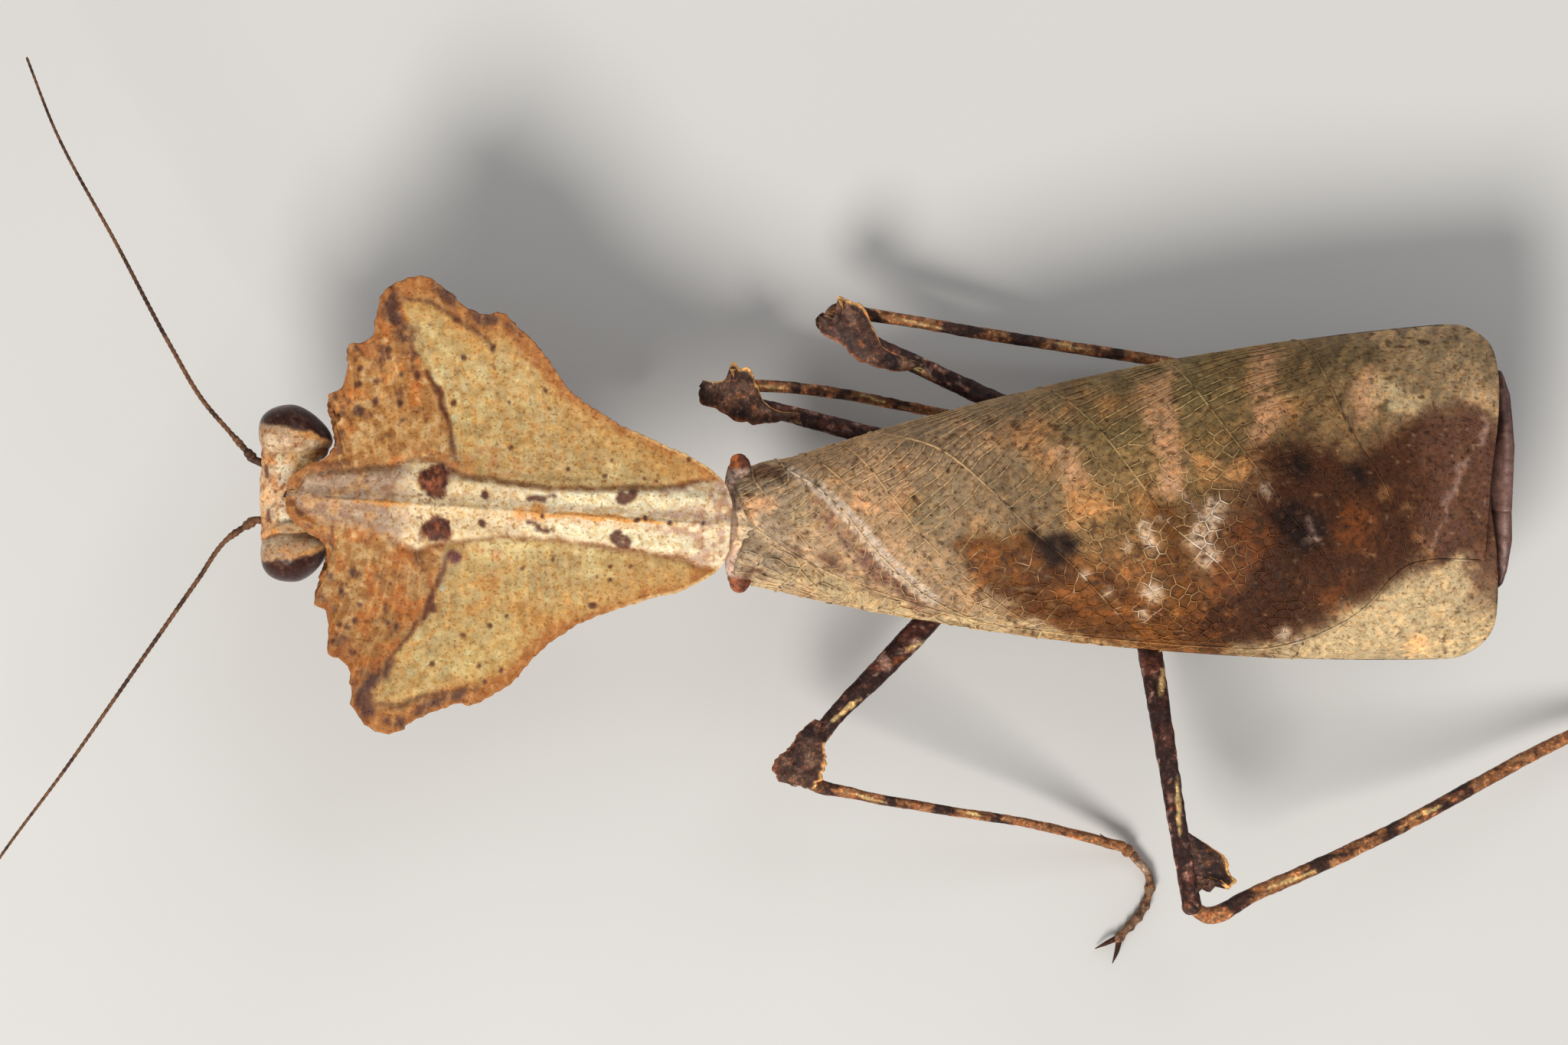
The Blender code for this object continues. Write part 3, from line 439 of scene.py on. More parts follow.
# Marks of the shield, as a, b and radius. The raised strip is given by its half width at a.
STRIP = {
    1: [(0, 2.9), (1.6, 2.8), (2.8, 2.6), (3.6, 2.3), (6.1, 2.1), (8.6, 1.8), (11.3, 1.6),
        (12.6, 1.7), (17.3, 2.0), (18.2, 2.5), (19, 2.9), (20.4, 2.9), (22.1, 2.3), (25.2, 1.8),
        (27.1, 1.5), (27.9, 0.3)],
    -1: [(0, 2.9), (1.8, 2.7), (2.7, 2.2), (6.8, 1.9), (10.5, 1.6), (14.3, 1.6), (18, 2.2),
         (19.7, 2.9), (20.4, 2.8), (22.8, 1.8), (26, 1.5), (27.6, 0.7), (27.9, 0.1)],
}
DARK_LINE = {
    1: [(17.6, 2.7), (17.9, 3.2), (18.1, 4.1), (18.3, 4.9), (18.6, 5.8), (19, 6.7), (19.4, 7.6),
        (20.1, 8.5)],
    -1: [(18, -3.3), (18.1, -4.1), (18.4, -4.6), (18.6, -5.3), (18.9, -6.4), (19.3, -7.2),
         (19.7, -7.7), (20.2, -8.6), (20.8, -9.3), (21.1, -9.8), (21.5, -10.4)],
}
FRONT_BLOTS = [
    [(22.6, 13.9, .38), (22.5, 13.1, .5), (22.7, 12.2, .62), (22.1, 11.4, .5), (21.4, 10.5, .58),
     (20.8, 9.7, .36)],
    [(22.3, -13.6, .3), (22.6, -12.6, .5), (22.5, -11.6, .55), (21.7, -10.9, .5), (21.3, -10.2, .3)],
]
FRONT_SPOTS = [
    (22.6, 9.8, .26), (24.3, 7.4, .23), (24.8, 9.7, .23), (24.3, 8.4, .19), (25.8, 6.5, .17),
    (25.3, 5.4, .26), (24.2, 5.7, .37), (23.3, 6.5, .26), (21.7, 8.2, .17), (20.6, 8.3, .26),
    (21.6, 6.4, .19), (24.3, 10.7, .19), (23.8, -4.7, .32), (24.6, -5.8, .22), (25.7, -6.4, .2),
    (23.3, -6.7, .15), (23.5, -7.7, .2), (24.7, -9.1, .3), (23.6, -9.8, .25), (21.5, -7.6, .2),
    (20.8, -7.9, .22), (21.6, -10.9, .35), (24.5, -8, .18),
]
RIM_BLOTS = [
    [(20.0, 14.0, .2), (19.4, 13.6, .34), (18.6, 13.1, .3)],
    [(17.6, 12.5, .3), (16.9, 12.1, .4), (16.0, 12.3, .34)],
    [(15.2, 11.9, .2), (14.4, 11.4, .16)],
    [(19.2, -13.3, .22), (18.2, -12.6, .34), (17.6, -12.3, .22)],
    [(17.0, -12.2, .22), (16.4, -12.0, .3)], [(21.2, -13.9, .2), (20.2, -14.0, .36)],
]
INNER_RIM_LINES = [
    [(22, 13.1, .1), (20.1, 13, .16), (18.7, 12.3, .16), (16.6, 10.9, .14), (15.9, 10.3, .08)],
    [(21.8, -12.9, .1), (20.2, -13, .16), (18.9, -12.2, .16), (16.5, -11.7, .14), (15.5, -11.4, .08)],
]
LOBE_DOTS = [
    (17.9, 9.6, .21), (18.4, 12, .17), (16, 10.4, .14), (15.8, 9.2, .14), (18.2, 6.6, .23),
    (14.7, 7, .14), (20.1, 11.6, .13), (14.6, 11, .13), (14.4, 4.1, .19), (12.4, 7.9, .13),
    (12.1, 6.7, .13), (10.6, 2.9, .15), (8.3, 2.7, .13), (5.8, 2.7, .13), (5, 2.6, .11),
    (2.9, 4.1, .15), (9, 3.8, .11), (7.9, 3.6, .13), (18.5, -10.1, .2), (16.6, -8.2, .18),
    (15, -7.4, .2), (14, -10.2, .18), (15.1, -11, .18), (15.5, -10, .14), (18.6, -6.5, .26),
    (11.2, -2.9, .13), (13, -3.6, .13), (7.5, -3.1, .15), (8.3, -3.9, .11), (7.4, -4, .15),
    (6.3, -3, .13), (8.5, -5.6, .27), (13.9, -6.7, .15),
]
STRIP_SPOTS = [
    (15.8, 1, .28), (15.9, -.9, .28), (6.1, 0, .2), (5.5, .1, .18), (3.8, 0, .18), (1.8, .1, .16),
    (12, -.1, .15),
]
STRIP_STROKES = [
    [(12.9, .9, .2), (11.4, 1.1, .2)], [(12.9, -.7, .15), (11.5, -1, .25)],
    [(7.1, 1.3, .45), (6.4, 1.7, .35)], [(7.2, -1.1, .42), (6.6, -1.6, .38)],
]
EYE_SPOTS = [(19, 1.7, .95), (18.8, -1.6, .82)]


def shield_tint(a, b, rim):
    """Colours of the shield at a and b, rim millimetres inside its edge."""
    here = flat(a, b)
    at = here[..., :2] + 0.16 * np.stack([clouds(here, 0.9, 3), clouds(here, 0.9, 4)], axis=-1)
    a, b = at[..., 0], at[..., 1]
    side = np.abs(b)
    big, mid, fine = clouds(here, 3.2, 5), clouds(here, 1.1, 6), clouds(here, 0.45, 7)
    threads = 1 - ease(np.abs(cloud(here, 1.3, 16) + 0.3 * cloud(here, 0.5, 17)), 0.0, 0.16)

    wide = clouds(here, 6.0, 38)
    tint = np.zeros(here.shape) + (180, 148, 96)
    tint = paint(tint, (210, 188, 136), 0.85 * ease(0.7 * big + 0.8 * mid, -0.1, 0.6))
    tint = paint(tint, (218, 186, 118), 0.5 * ease(wide + 0.4 * mid, 0.0, 0.8))
    tint = paint(tint, (178, 132, 82), 0.45 * ease(0.5 * mid - wide, 0.2, 0.9))
    tint = paint(tint, (158, 144, 104), 0.35 * ease(cloud(here, 1.9, 18) + 0.4 * fine, 0.15, 0.8))
    tint = paint(tint, (182, 126, 66), 0.8 * ease(-big + 0.7 * mid, 0.15, 0.85))
    tint = paint(tint, (196, 138, 72), 0.6 * (1 - ease(rim + 0.5 * big, 0.4, 3.6)))
    rays = np.sin(np.arctan2(b, a - 8) * 46 + 2.2 * mid) * ease(side, 2.5, 5)
    tint = paint(tint, (210, 154, 84), 0.35 * ease(rays, 0.2, 1.0) + 0.45 * threads * ease(side, 2.2, 4))
    flush = hump(a, 15.5, 3.2) * hump(side, 3.2, 1.4)
    tint = paint(tint, (196, 122, 78), 0.6 * flush * ease(fine, -0.2, 0.5))

    tint = tint * ((0.985, 0.995, 1.01) - ease(-b, 2, 4)[..., None] * (0.04, 0.025, 0.01))

    border = {s: np.interp(side, [abs(p[1]) for p in DARK_LINE[s]] + [14.6],
                           [p[0] for p in DARK_LINE[s]] + [22.6]) for s in (1, -1)}
    front = ease(a - np.where(b > 0, border[1], border[-1]), -0.15, 0.3)
    small = clouds(here, 0.6, 47)
    zone = np.zeros(here.shape) + (170, 116, 62)
    zone = paint(zone, (208, 164, 106), 0.85 * ease(0.5 * big + 0.8 * mid + 0.4 * small, -0.05, 0.6))
    zone = paint(zone, (198, 112, 46), 0.75 * ease(cloud(here, 1.0, 19) + 0.5 * small, 0.15, 0.6))
    zone = paint(zone, (222, 188, 138), 0.7 * ease(small + 0.4 * fine, 0.35, 0.8))
    zone = paint(zone, (112, 68, 44), 0.7 * ease(-small - 0.4 * mid, 0.45, 0.9))
    zone = paint(zone, (218, 176, 124), 0.35 * threads)
    depth = 1 - ease(rim, 0.6, 3.4)
    zone = paint(zone, (104, 64, 46), 0.85 * ease(fine * 0.6 + mid + 0.8 * depth, 0.75, 1.25))
    zone = zone * (0.95 - 0.1 * ease(-b, 2, 4))[..., None]
    tint = paint(tint, zone, front)

    rust_reach = 0.4 + 0.9 * ease(a, 9, 13) * (1 - ease(a, 23, 25)) + 0.3 * mid
    rust = 1 - ease(rim + 0.2 * fine, rust_reach - 0.5, rust_reach + 0.6)
    tint = paint(tint, (160, 98, 50), 0.85 * rust)
    tint = paint(tint, (226, 198, 144), 0.7 * (1 - ease(rim, 0.1, 0.3)) * (1 - ease(a, 4, 9)))
    for line in INNER_RIM_LINES:
        tint = paint(tint, (92, 56, 34), 0.85 * near(at, line, 0.22, True))
    for blot in RIM_BLOTS:
        tint = paint(tint, (78, 52, 46), 0.85 * near(at, blot, 0.28, True) * ease(fine, -1.0, 0.0))
    for blot in FRONT_BLOTS:
        reach = near(at + 0.3 * np.stack([mid, fine], axis=-1), blot, 0.4, True)
        tint = paint(tint, (74, 46, 40), 0.9 * reach * ease(fine + 0.4 * mid, -0.9, -0.1))
    tint = paint(tint, (72, 42, 32), 0.9 * near(at, FRONT_SPOTS, 0.14))
    tint = paint(tint, (84, 48, 32), 0.9 * near(at, LOBE_DOTS, 0.09))
    for s in (1, -1):
        line = [(p, q, 0.2 - 0.09 * abs(n - 3.5) / 3.5) for n, (p, q) in enumerate(DARK_LINE[s])]
        tint = paint(tint, (86, 42, 22), 0.92 * near(at, line, 0.16, True) * ease(side, 2.4, 4.2))
        tint = paint(tint, (120, 100, 84), 0.6 * near(at, line[:3], 0.5, True))
    tint = paint(tint, (92, 50, 52), 0.9 * near(at, [(17.5, -3.1, .45)], 0.2))
    tint = paint(tint, (150, 185, 190), 0.6 * near(at, [(18.1, 5.6, .14), (18.1, -5.3, .16)], 0.1))

    half = np.where(b > 0, np.interp(a, *np.transpose(STRIP[1])), np.interp(a, *np.transpose(STRIP[-1])))
    strip = np.zeros(here.shape) + (224, 200, 164)
    cream = hump(side, 0.6 * half, 0.42 * half) * ease(a, 1.2, 3.0) * (1 - ease(a, 12, 14.5))
    strip = paint(strip, (234, 220, 182), 0.95 * ease(cream, 0.1, 0.6))
    rosy = ease(fine + 0.4 * mid, -0.3, 0.4) * (1 - ease(a, 3.6, 6.5)) * (1 - cream)
    strip = paint(strip, (182, 146, 126), 0.75 * rosy)
    strip = paint(strip, (220, 196, 152), 0.8 * ease(a, 13, 15.5) * (1 - ease(a, 19.5, 21)))
    strip = paint(strip, (200, 174, 140), 0.6 * ease(mid + 0.5 * fine, 0.0, 0.7) * hump(a, 17.0, 3.6))
    strip = paint(strip, (148, 118, 98), ease(a, 20.2, 22.0) * (0.75 + 0.35 * fine))
    strip = paint(strip, (196, 148, 100), 0.7 * ease(a, 20.5, 23) * ease(mid - 0.4 * fine, 0.0, 0.6))
    strip = paint(strip, (178, 128, 96), 0.4 * ease(fine - mid * 0.3, 0.35, 0.8) * (1 - 0.7 * cream))
    line = hump(b, 0.1 * mid, 0.32) * np.maximum(hump(a, 8.6, 8.2), 0.6 * hump(a, 22, 4.8))
    strip = paint(strip, (214, 148, 76), 0.85 * ease(line + 0.15 * fine, 0.12, 0.6))
    strip = paint(strip, (214, 140, 66), 0.8 * near(at, [(12.3, .1, .55), (13.4, -.1, .4)], 0.35))
    torn = at + 0.34 * np.stack([clouds(here, 0.6, 20), clouds(here, 0.6, 37)], axis=-1)
    spots = near(torn, EYE_SPOTS, 0.22)
    strip = paint(strip, (92, 44, 26), 0.94 * spots)
    speck = clouds(here, 0.26, 39)
    strip = paint(strip, (58, 30, 24), 0.8 * spots * ease(-speck - 0.4 * fine, -0.1, 0.5))
    pupils = near(torn, [(p + 0.1, q, r * 0.7) for p, q, r in EYE_SPOTS], 0.3)
    strip = paint(strip, (170, 98, 62), 0.85 * pupils * ease(speck + 0.3 * mid, 0.15, 0.6))
    freckled = near(at, [(19.6, .8, .7), (19.6, -.7, .7), (18.6, .4, .5), (18.5, -.4, .5)], 0.4)
    strip = paint(strip, (110, 60, 44), 0.75 * freckled * ease(speck - 0.2 * fine, 0.25, 0.6))
    for stroke in STRIP_STROKES:
        strip = paint(strip, (80, 44, 34), 0.85 * near(at, stroke, 0.14, True) * ease(fine, -0.8, 0.0))
    strip = paint(strip, (74, 42, 34), 0.9 * near(at, STRIP_SPOTS, 0.1))
    fade = 0.16 + 0.45 * ease(a, 19.5, 23) + 0.1 * fine * ease(a, 18, 20)
    inside = 1 - ease((side - half) / fade, -1, 1)
    tint = paint(tint, strip, inside)
    # Painted shade: darker brown along the grooves beside the raised strip.
    groove = hump(side - half, 0.05, 0.34) * ease(a, 0.5, 2) * (1 - 0.9 * ease(a, 19.5, 22))
    return paint(tint, (112, 66, 38), 0.65 * groove * (0.75 + 0.4 * fine)), half


def pronotum():
    """The leafy shield, and the body that runs under its middle."""
    rows, cols = 345, 217
    edge = smooth(SHIELD_OUTLINE, rows)
    v = np.linspace(-1, 1, cols)[None, :]
    sides = np.sign(v) + (v == 0)
    wobble = 1 + sides * 0.006 * np.sin(0.18 * np.arange(rows))[:, None]
    tooth = np.abs((np.arange(rows)[:, None] * 0.165 % 1.0) - 0.5) - 0.25
    tooth = tooth + 0.5 * cloud(flat(np.arange(rows)[:, None] * 0.17, sides), 1.0, 11)
    pinch = ease(np.abs(v), 0.9, 1.0) * np.clip(edge[:, 1:2] / 6, 0.15, 1)
    reach = edge[:, 1:2] * wobble - 0.17 * (tooth + 0.35) * pinch
    a = edge[:, 2:] + (edge[:, :1] - edge[:, 2:]) * np.abs(v) ** 1.6
    b = v * reach
    rim = (1 - np.abs(v)) * np.hypot(edge[:, :1] - edge[:, 2:], reach)
    tint, half = shield_tint(a, b, rim)
    here = flat(a, b)
    side = np.abs(b)
    row = np.arange(rows)[:, None] * np.ones_like(v)
    vein = np.cos(row * 0.3 + 2.2 * cloud(here, 2.6, 8)) ** 10 * ease(side - half, 0.1, 1.4)
    branch = np.cos(row * 0.42 + 4.5 * cloud(here, 1.2, 9)) ** 10 * (1 - ease(rim, 2.0, 4.5))
    lift = 0.05 * vein + 0.02 * branch * ease(side - half, 0.1, 1.4)
    lift += 0.07 * clouds(here, 1.3, 12) + 0.03 * clouds(here, 0.42, 13, 2)
    lift -= 0.16 * hump(side - half, 0.1, 0.45) * ease(a, 0.5, 2)
    lift += 0.10 * hump(b, 0.0, 0.22) * ease(a, 1, 3) * (1 - ease(a, 25, 27))
    lift += 0.04 * (1 - ease(rim, 0.0, 0.5)) * (1 - ease(a, 26, 28))
    for spot in EYE_SPOTS:
        lift -= 0.12 * near(here[..., :2], [spot], 0.3)
    lift -= 0.1 * hump(a, 18.2, 0.5) * (1 - ease(side, half, half + 0.3))
    tint = paint(tint, (222, 170, 104), 0.3 * np.maximum(vein, 0.4 * branch) * ease(side - half, 0.3, 1))
    thick = 0.34 + 0.3 * ease(rim, 0.0, 2.5)
    skin = Skin()
    top = on_shield(a, b, shield_top(a, b) + lift - 0.04)
    dull = 0.55 * tint + (40, 26, 14)
    skin.add_leaf(top, thick, tint, dull)

    body = [
        (1.1, 2.4, 1.9), (3.0, 2.5, 1.9), (8.0, 2.2, 1.9), (13.0, 2.2, 1.9), (16.5, 2.6, 2.1),
        (19.0, 2.9, 2.2), (21.5, 2.5, 2.0), (23.6, 1.8, 1.7), (24.9, 1.4, 1.3),
    ]
    middle = [(*on_shield(p, 0, shield_top(p, 0) - 0.5 - h), w, h) for p, w, h in body]
    rings = rod(middle, 40, 130)
    out = unit(rings - rings.mean(axis=1, keepdims=True))
    rings = rings + out * (0.07 * clouds(rings, 0.9, 14))[..., None]
    brown = paint(np.zeros(rings.shape) + (128, 88, 56), (74, 46, 32), ease(clouds(rings, 1.2, 15), 0, 0.6))
    brown = paint(brown, (206, 174, 150), ease(rings[..., 0], -4.3, -3.5) * ease(rings[..., 2], 11.8, 13.0))
    skin.add_rings(rings, brown)
    skin.piece("pronotum_skin", SHIELD_COAT, "pronotum", "pronotum")


# The wings


def sleeve(x):
    """Half width, middle in y, height of the edges and rise of the top, at x."""
    x = np.asarray(x, float)
    u = x / 40.14
    shoulder = 0.16 * hump(x, -1.6, 2.6)
    half = 4.3 + 11.2 * u - 4.7 * u * u + shoulder
    base = 10 - 1.5 * ease(x, -3, 22) - 0.2 * ease(x, 22, 46)
    rise = 4.6 + 3.4 * ease(x, -3, 22) - 1.2 * ease(x, 22, 47)
    return half, -0.25 + 0.0527 * x + shoulder, base, rise


def on_sleeve(x, w, depth=0.0):
    """Layout point at x, w of the way from the top to the right edge, depth under the face."""
    half, middle, base, rise = sleeve(x)
    w = np.asarray(w, float)
    turn = w * math.pi / 2
    power = 2 / WING_SQUARENESS
    y = middle + (half - depth) * np.sign(w) * np.abs(np.sin(turn)) ** power
    z = base + (rise - depth) * np.abs(np.cos(turn)) ** power
    return np.stack(np.broadcast_arrays(x, y, z), axis=-1)


def around(x, y):
    """The w of a point seen from above."""
    half, middle, _, _ = sleeve(x)
    out = np.clip((y - middle) / half, -1, 1)
    return float(np.sign(out) * math.asin(abs(out) ** (WING_SQUARENESS / 2)) * 2 / math.pi)


# Each rib runs from the front edge of the right wing, along a vein, to the hind margin: first the
# x where it leaves the edge, then points seen from above, then x and w where it ends.
WING_RIBS = [
    (-3.2, [(-3.3, 2.6), (-2.8, 1.2)], (-2.15, 0.0)),
    (-2.1, [(-1.7, 2.4), (0.8, -0.6)], (3.4, -0.43)),
    (-0.6, [(0.1, 3.5), (2.2, 2.2), (4.4, 0.0), (6.5, -2.5), (9.4, -4.9)], (12.4, -0.74)),
    (2.7, [(3.8, 4.9), (7.7, 0.6), (11.6, -3.5)], (17.0, -0.77)),
    (5.4, [(6.4, 5.7), (10.0, 4.7), (13.4, 1.9), (18.9, -3.2)], (23.8, -0.78)),
    (11.0, [(12.6, 6.6), (16.8, 3.2), (20.8, -1.0), (24.6, -4.4)], (28.0, -0.78)),
    (16.4, [(17.4, 8.4), (20.2, 5.9), (24.2, 0.4), (28.3, -3.2)], (31.4, -0.76)),
    (24.4, [(25.4, 9.8), (27.6, 6.9), (31.9, 1.0), (34.6, -2.2)], (36.6, -0.5)),
    (33.0, [(34.2, 10.6), (36.4, 5.6), (39.0, 0.8)], (40.0, -0.26)),
    (43.2, [(44.6, 12.5), (45.6, 11.4), (45.9, 9.4), (45.8, 7.0), (45.2, 2.0)], (44.9, -0.25)),
]
MAIN_VEINS = [1, 2, 3, 4, 6, 7, 8]
FIELD_EDGES = [0.15, 1, 2, 2.5, 3, 4, 6, 7, 8, 8.9]
ALONG = 200
RIBS = np.array([
    smooth([(x, w * 12) for x, w in [(first, 1.0), *[(x, around(x, y)) for x, y in middle], last]],
           ALONG + 1) / (1, 12)
    for first, middle, last in WING_RIBS
])


def wing_place(r, t):
    """The x and w of the wing at rib number r, with fractions, and t of the way along it."""
    r, t = np.broadcast_arrays(np.clip(r, 0, 9), np.clip(t, 0, 1))
    k = np.minimum(np.floor(r).astype(int), 8)
    u = (r - k)[..., None]
    c = np.minimum(np.floor(t * ALONG).astype(int), ALONG - 1)
    f = (t * ALONG - c)[..., None]

    def rib(n):
        n = np.clip(n, 0, 9)
        return RIBS[n, c] * (1 - f) + RIBS[n, c + 1] * f

    before, one, two, after = rib(k - 1), rib(k), rib(k + 1), rib(k + 2)
    rise, fall = (two - before) / 2, (after - one) / 2
    bend = (u**3 - 2 * u**2 + u) * rise + (u**3 - u**2) * fall
    return one + (3 * u**2 - 2 * u**3) * (two - one) + bend


def lower_depth(x, w):
    """The left wing dips under the right one, and comes level with it where it is bare."""
    places = [-2.15, -0.4, 2.2, 5.4, 8.8, 13.4, 20.0, 31.5, 36.6, 38.8, 40.0, 45.0]
    angles = [0.0, -0.15, -0.35, -0.53, -0.68, -0.75, -0.78, -0.76, -0.5, -0.35, -0.26, -0.25]
    edge = np.interp(x, places, angles)
    return LOWER_WING * ease(w, np.maximum(edge - 0.3, -0.98), np.maximum(edge - 0.12, -0.87))


def on_wing(side, r, t, lift=0.0):
    """Point and outward direction of a fore wing."""
    x, w = np.moveaxis(wing_place(r, t), -1, 0)
    w = w * side
    depth = lower_depth(x, w) if side < 0 else 0.0
    step = 0.01
    out = np.cross(on_sleeve(x + step, w) - on_sleeve(x - step, w),
                   on_sleeve(x, w + step / 10) - on_sleeve(x, w - step / 10))
    return on_sleeve(x, w, depth - lift), unit(out)


def field_shape(low, high):
    """A field between two veins: the slant of its cross veins and its numbers of tiers and cells."""
    t = np.linspace(0, 1, 41)
    one, two, middle = (on_wing(1, r, t)[0] for r in (low, high, (low + high) / 2))
    along = np.gradient(middle, t, axis=0)
    slant = np.einsum("ij,ij->i", two - one, along) / np.einsum("ij,ij->i", along, along)
    gap = np.linalg.norm(two - one - slant[:, None] * along, axis=1)
    length = np.linalg.norm(np.diff(middle, axis=0), axis=1).sum()
    return slant, max(1, round(float(np.median(gap)) / 0.95)), max(6, round(length / 0.78))


FIELDS = [(low, high, *field_shape(low, high)) for low, high in zip(FIELD_EDGES, FIELD_EDGES[1:])]


def netted(x, y):
    """0 where cross veins run straight on, 1 where they make a net."""
    return ease(0.045 * x - 0.11 * y, 0.35, 1.0)


def drift(low, a, v, tiers, cells):
    """How far the cross veins stray from even spacing, in cells."""
    place = np.stack(np.broadcast_arrays(a * cells / 1.9, v * tiers / 1.5, 3.1 * low), axis=-1)
    return 0.4 * cloud(place, 1.4, 92) + 0.07 * cloud(place, 0.6, 93)


def puffs(r, t, x, y):
    """How full each cell is of its swelling, from 0 on a vein to 1 in its middle, and its colour change: a
    random lightening or darkening per cell plus painted shading that makes each cell lighter on one side.
    """
    out, cell_tone_and_shade = np.zeros(r.shape), np.zeros(r.shape)
    net = netted(x, y)
    for low, high, slant, tiers, cells in FIELDS:
        inside = (r >= low) & (r < high)
        v = (r - low) / (high - low)
        across = v * tiers
        a = t + np.interp(t, np.linspace(0, 1, 41), slant) * (v - 0.5)
        place = a * cells - drift(low, a, v, tiers, cells) - 0.5 * net * (np.floor(across) % 2)
        wave = np.abs(np.sin(math.pi * place))
        tier = np.abs(np.sin(math.pi * across)) * net + 1 - net
        out = np.where(inside, np.sqrt(wave * tier), out)
        group = np.floor(across / np.where(net > 0.5, 1, 3))
        random = cloud(flat(np.floor(place), group) + (0, 0, round(low * 10)), 1.0, 94)
        # Painted shading: besides the random change per cell, a ramp across the cell makes it lighter on
        # one side and darker on the other.
        cell_tone_and_shade = np.where(inside, random + 0.7 * (place % 1 - 0.5), cell_tone_and_shade)
    return out, cell_tone_and_shade


RUST = [
    [(12.6, -2.4, 1.05), (14.5, -3.1, 1.8), (16.7, -4, 2.2), (19.4, -5, 2.2), (21.9, -6.0, 1.8),
     (25, -7.0, 1.3), (28, -6.6, 1.2)],
    [(11.6, -1.6, .49), (13.5, -1.4, .49), (15.7, -1.4, .59)],
    [(24.4, .6, .7), (24.7, -1.6, .8), (25.2, -4.0, 1.0), (26.6, -5.6, 1.1)],
]
RUST_DARK = [(16, -1.1, .49), (16.9, -1.5, .83), (18.2, -1.4, .69), (17.3, -2.2, .59)]
PINK_STREAKS = [
    [(17.3, 4.9, .44), (17.9, 3.9, .83), (18.4, 2.8, .88)],
    [(25.1, 10, .39), (24.5, 9.1, .59), (23.7, 8.3, .98), (24.1, 6.9, 1.03), (24.5, 5.3, 1.03),
     (24.8, 3.8, .83), (24.7, 2, .73)],
    [(31.1, 10.4, .88), (30.7, 9, .88), (30.9, 7.5, .98), (30.9, 6.4, .88), (30.4, 5.4, .64)],
    [(37.5, 9.5, .5), (37.3, 8.4, .7), (37.0, 7.0, .6)],
]
ORANGE_STREAKS = [
    [(18.8, 1.8, .83), (19.8, 1.2, .83), (21, 1, .54)],
    [(18.4, 1.1, .59), (18.4, .1, .64)],
    [(28.7, 3, .49), (30.1, 4, .44)],
    [(26.5, 4.1, .49), (27.1, 3.5, .73)],
]
DARK_REAR = [
    [(30.8, 4.1, .78), (33.1, 3.7, 1.27), (35, 2.6, 1.72), (33, 1.1, 2.7), (35, -.9, 2.94),
     (33.1, -3.8, 2.94), (30.2, -5.8, 1.96), (27.3, -6.5, 1.37)],
    [(38, 2.1, 2.21), (40, 4, 1.96), (41.5, 5.5, 1.72), (40.9, 1.6, 2.21), (41.9, -.4, 1.96),
     (39.5, -.9, 1.72), (36.1, -2.8, 2.45)],
    [(43.8, 6.6, .9), (44.9, 4.2, 1.4), (45.2, 1.3, 1.4), (44.8, 0.2, 0.7)],
]
DARKEST = [(32.1, .1, 1.18), (33.3, -.6, 1.27), (36.8, 3.1, .69), (32.9, 3.6, .7)]
RUST_SPOTS = [
    (30.1, -.9, 1.37), (29.4, -2.6, 1.08), (28.2, -3.8, .98), (36.5, -.4, 1.47), (35.5, -4.4, 1.2),
]
WHITE_MARKS = [
    [(27.7, 1.1, .59), (27.1, -.1, .73), (26.5, -1.1, .83), (27.2, -2.2, .59)],
    [(23, -.4, .39), (23.7, -1.8, .39)], [(21.8, -1.4, .34)], [(19.2, -3.3, .39)],
    [(20.7, -4.5, .34)], [(22.8, -5.7, .39)], [(16.3, -6.5, .29)], [(24.1, .1, .29)],
    [(23.5, -4.3, .69)], [(30.8, 2.1, .34)], [(33.3, -1.1, .2)], [(31.9, -7.1, .44)],
    [(32.9, -7.6, .39)],
]
REDDISH_RIM = [(-2.2, -4.5, .2), (1.6, -5.1, .15)]
SMUDGES = [(38.3, 1.7, .45), (40.7, -.9, .5), (41.1, -2.0, .5), (39.7, .6, .25), (36.3, -5.4, .3)]
TAN_MARKS = [
    [(29.5, -8.3, .49), (33.4, -8.2, .78), (36.8, -7.3, 1.27), (39.1, -5.8, 1.86),
     (41.6, -4.8, 1.86), (43, -3.3, 1.23)],
    [(37.8, 8.4, .88), (40.7, 7.3, .69)],
    [(-1.7, -3.9, .24), (.8, -3.3, .49), (3.3, -4.3, .69), (6.2, -5.4, .69), (9.7, -6.4, .59),
     (13.1, -6.5, .49), (17, -7.4, .3), (22, -8.0, .3)],
]
PURPLE_BAND = [
    (2.3, 1.3, .44), (2.6, .9, .49), (3.4, -.1, .54), (4.2, -1.2, .54), (5.2, -2, .54),
    (5.8, -2.9, .49), (7, -4, .44), (8, -4.8, .39), (9.1, -5.6, .29),
]
PALE_BAND = [(.3, 3.4, .3), (2.4, 2.1, .42), (4.6, -.1, .45), (6.7, -2.6, .45), (9.6, -5.0, .4)]
BROWN_MARKS = [
    [(2.7, -2.4, .34), (3.2, -2.8, .49)], [(1.1, -.6, .2), (1.4, -1, .2)],
    [(-2.6, 3.5, .39), (-1.6, 3.3, .59), (-.4, 3, .44)],
    [(-2.6, -2.9, .39), (-1.7, -3.1, .44)], [(.8, -2, .39)],
]
# Pale lines along creases of the fore wings: painted highlight on the crests of the folds.
FOLD_HIGHLIGHTS = [
    [(44.8, 6.7, .1), (44.6, 5.3, .2)], [(43.7, 4.2, .05), (43.1, 3.6, .17), (42.8, 2.3, .13)],
    [(42.8, 2.3, .1), (42.2, 1.2, .08), (41.5, -1.8, .06)],
    [(33.0, .2, .1), (34.1, -1.1, .16)], [(24.4, 3.0, .08), (25.6, 1.4, .12), (26.6, 0.2, .1)],
]
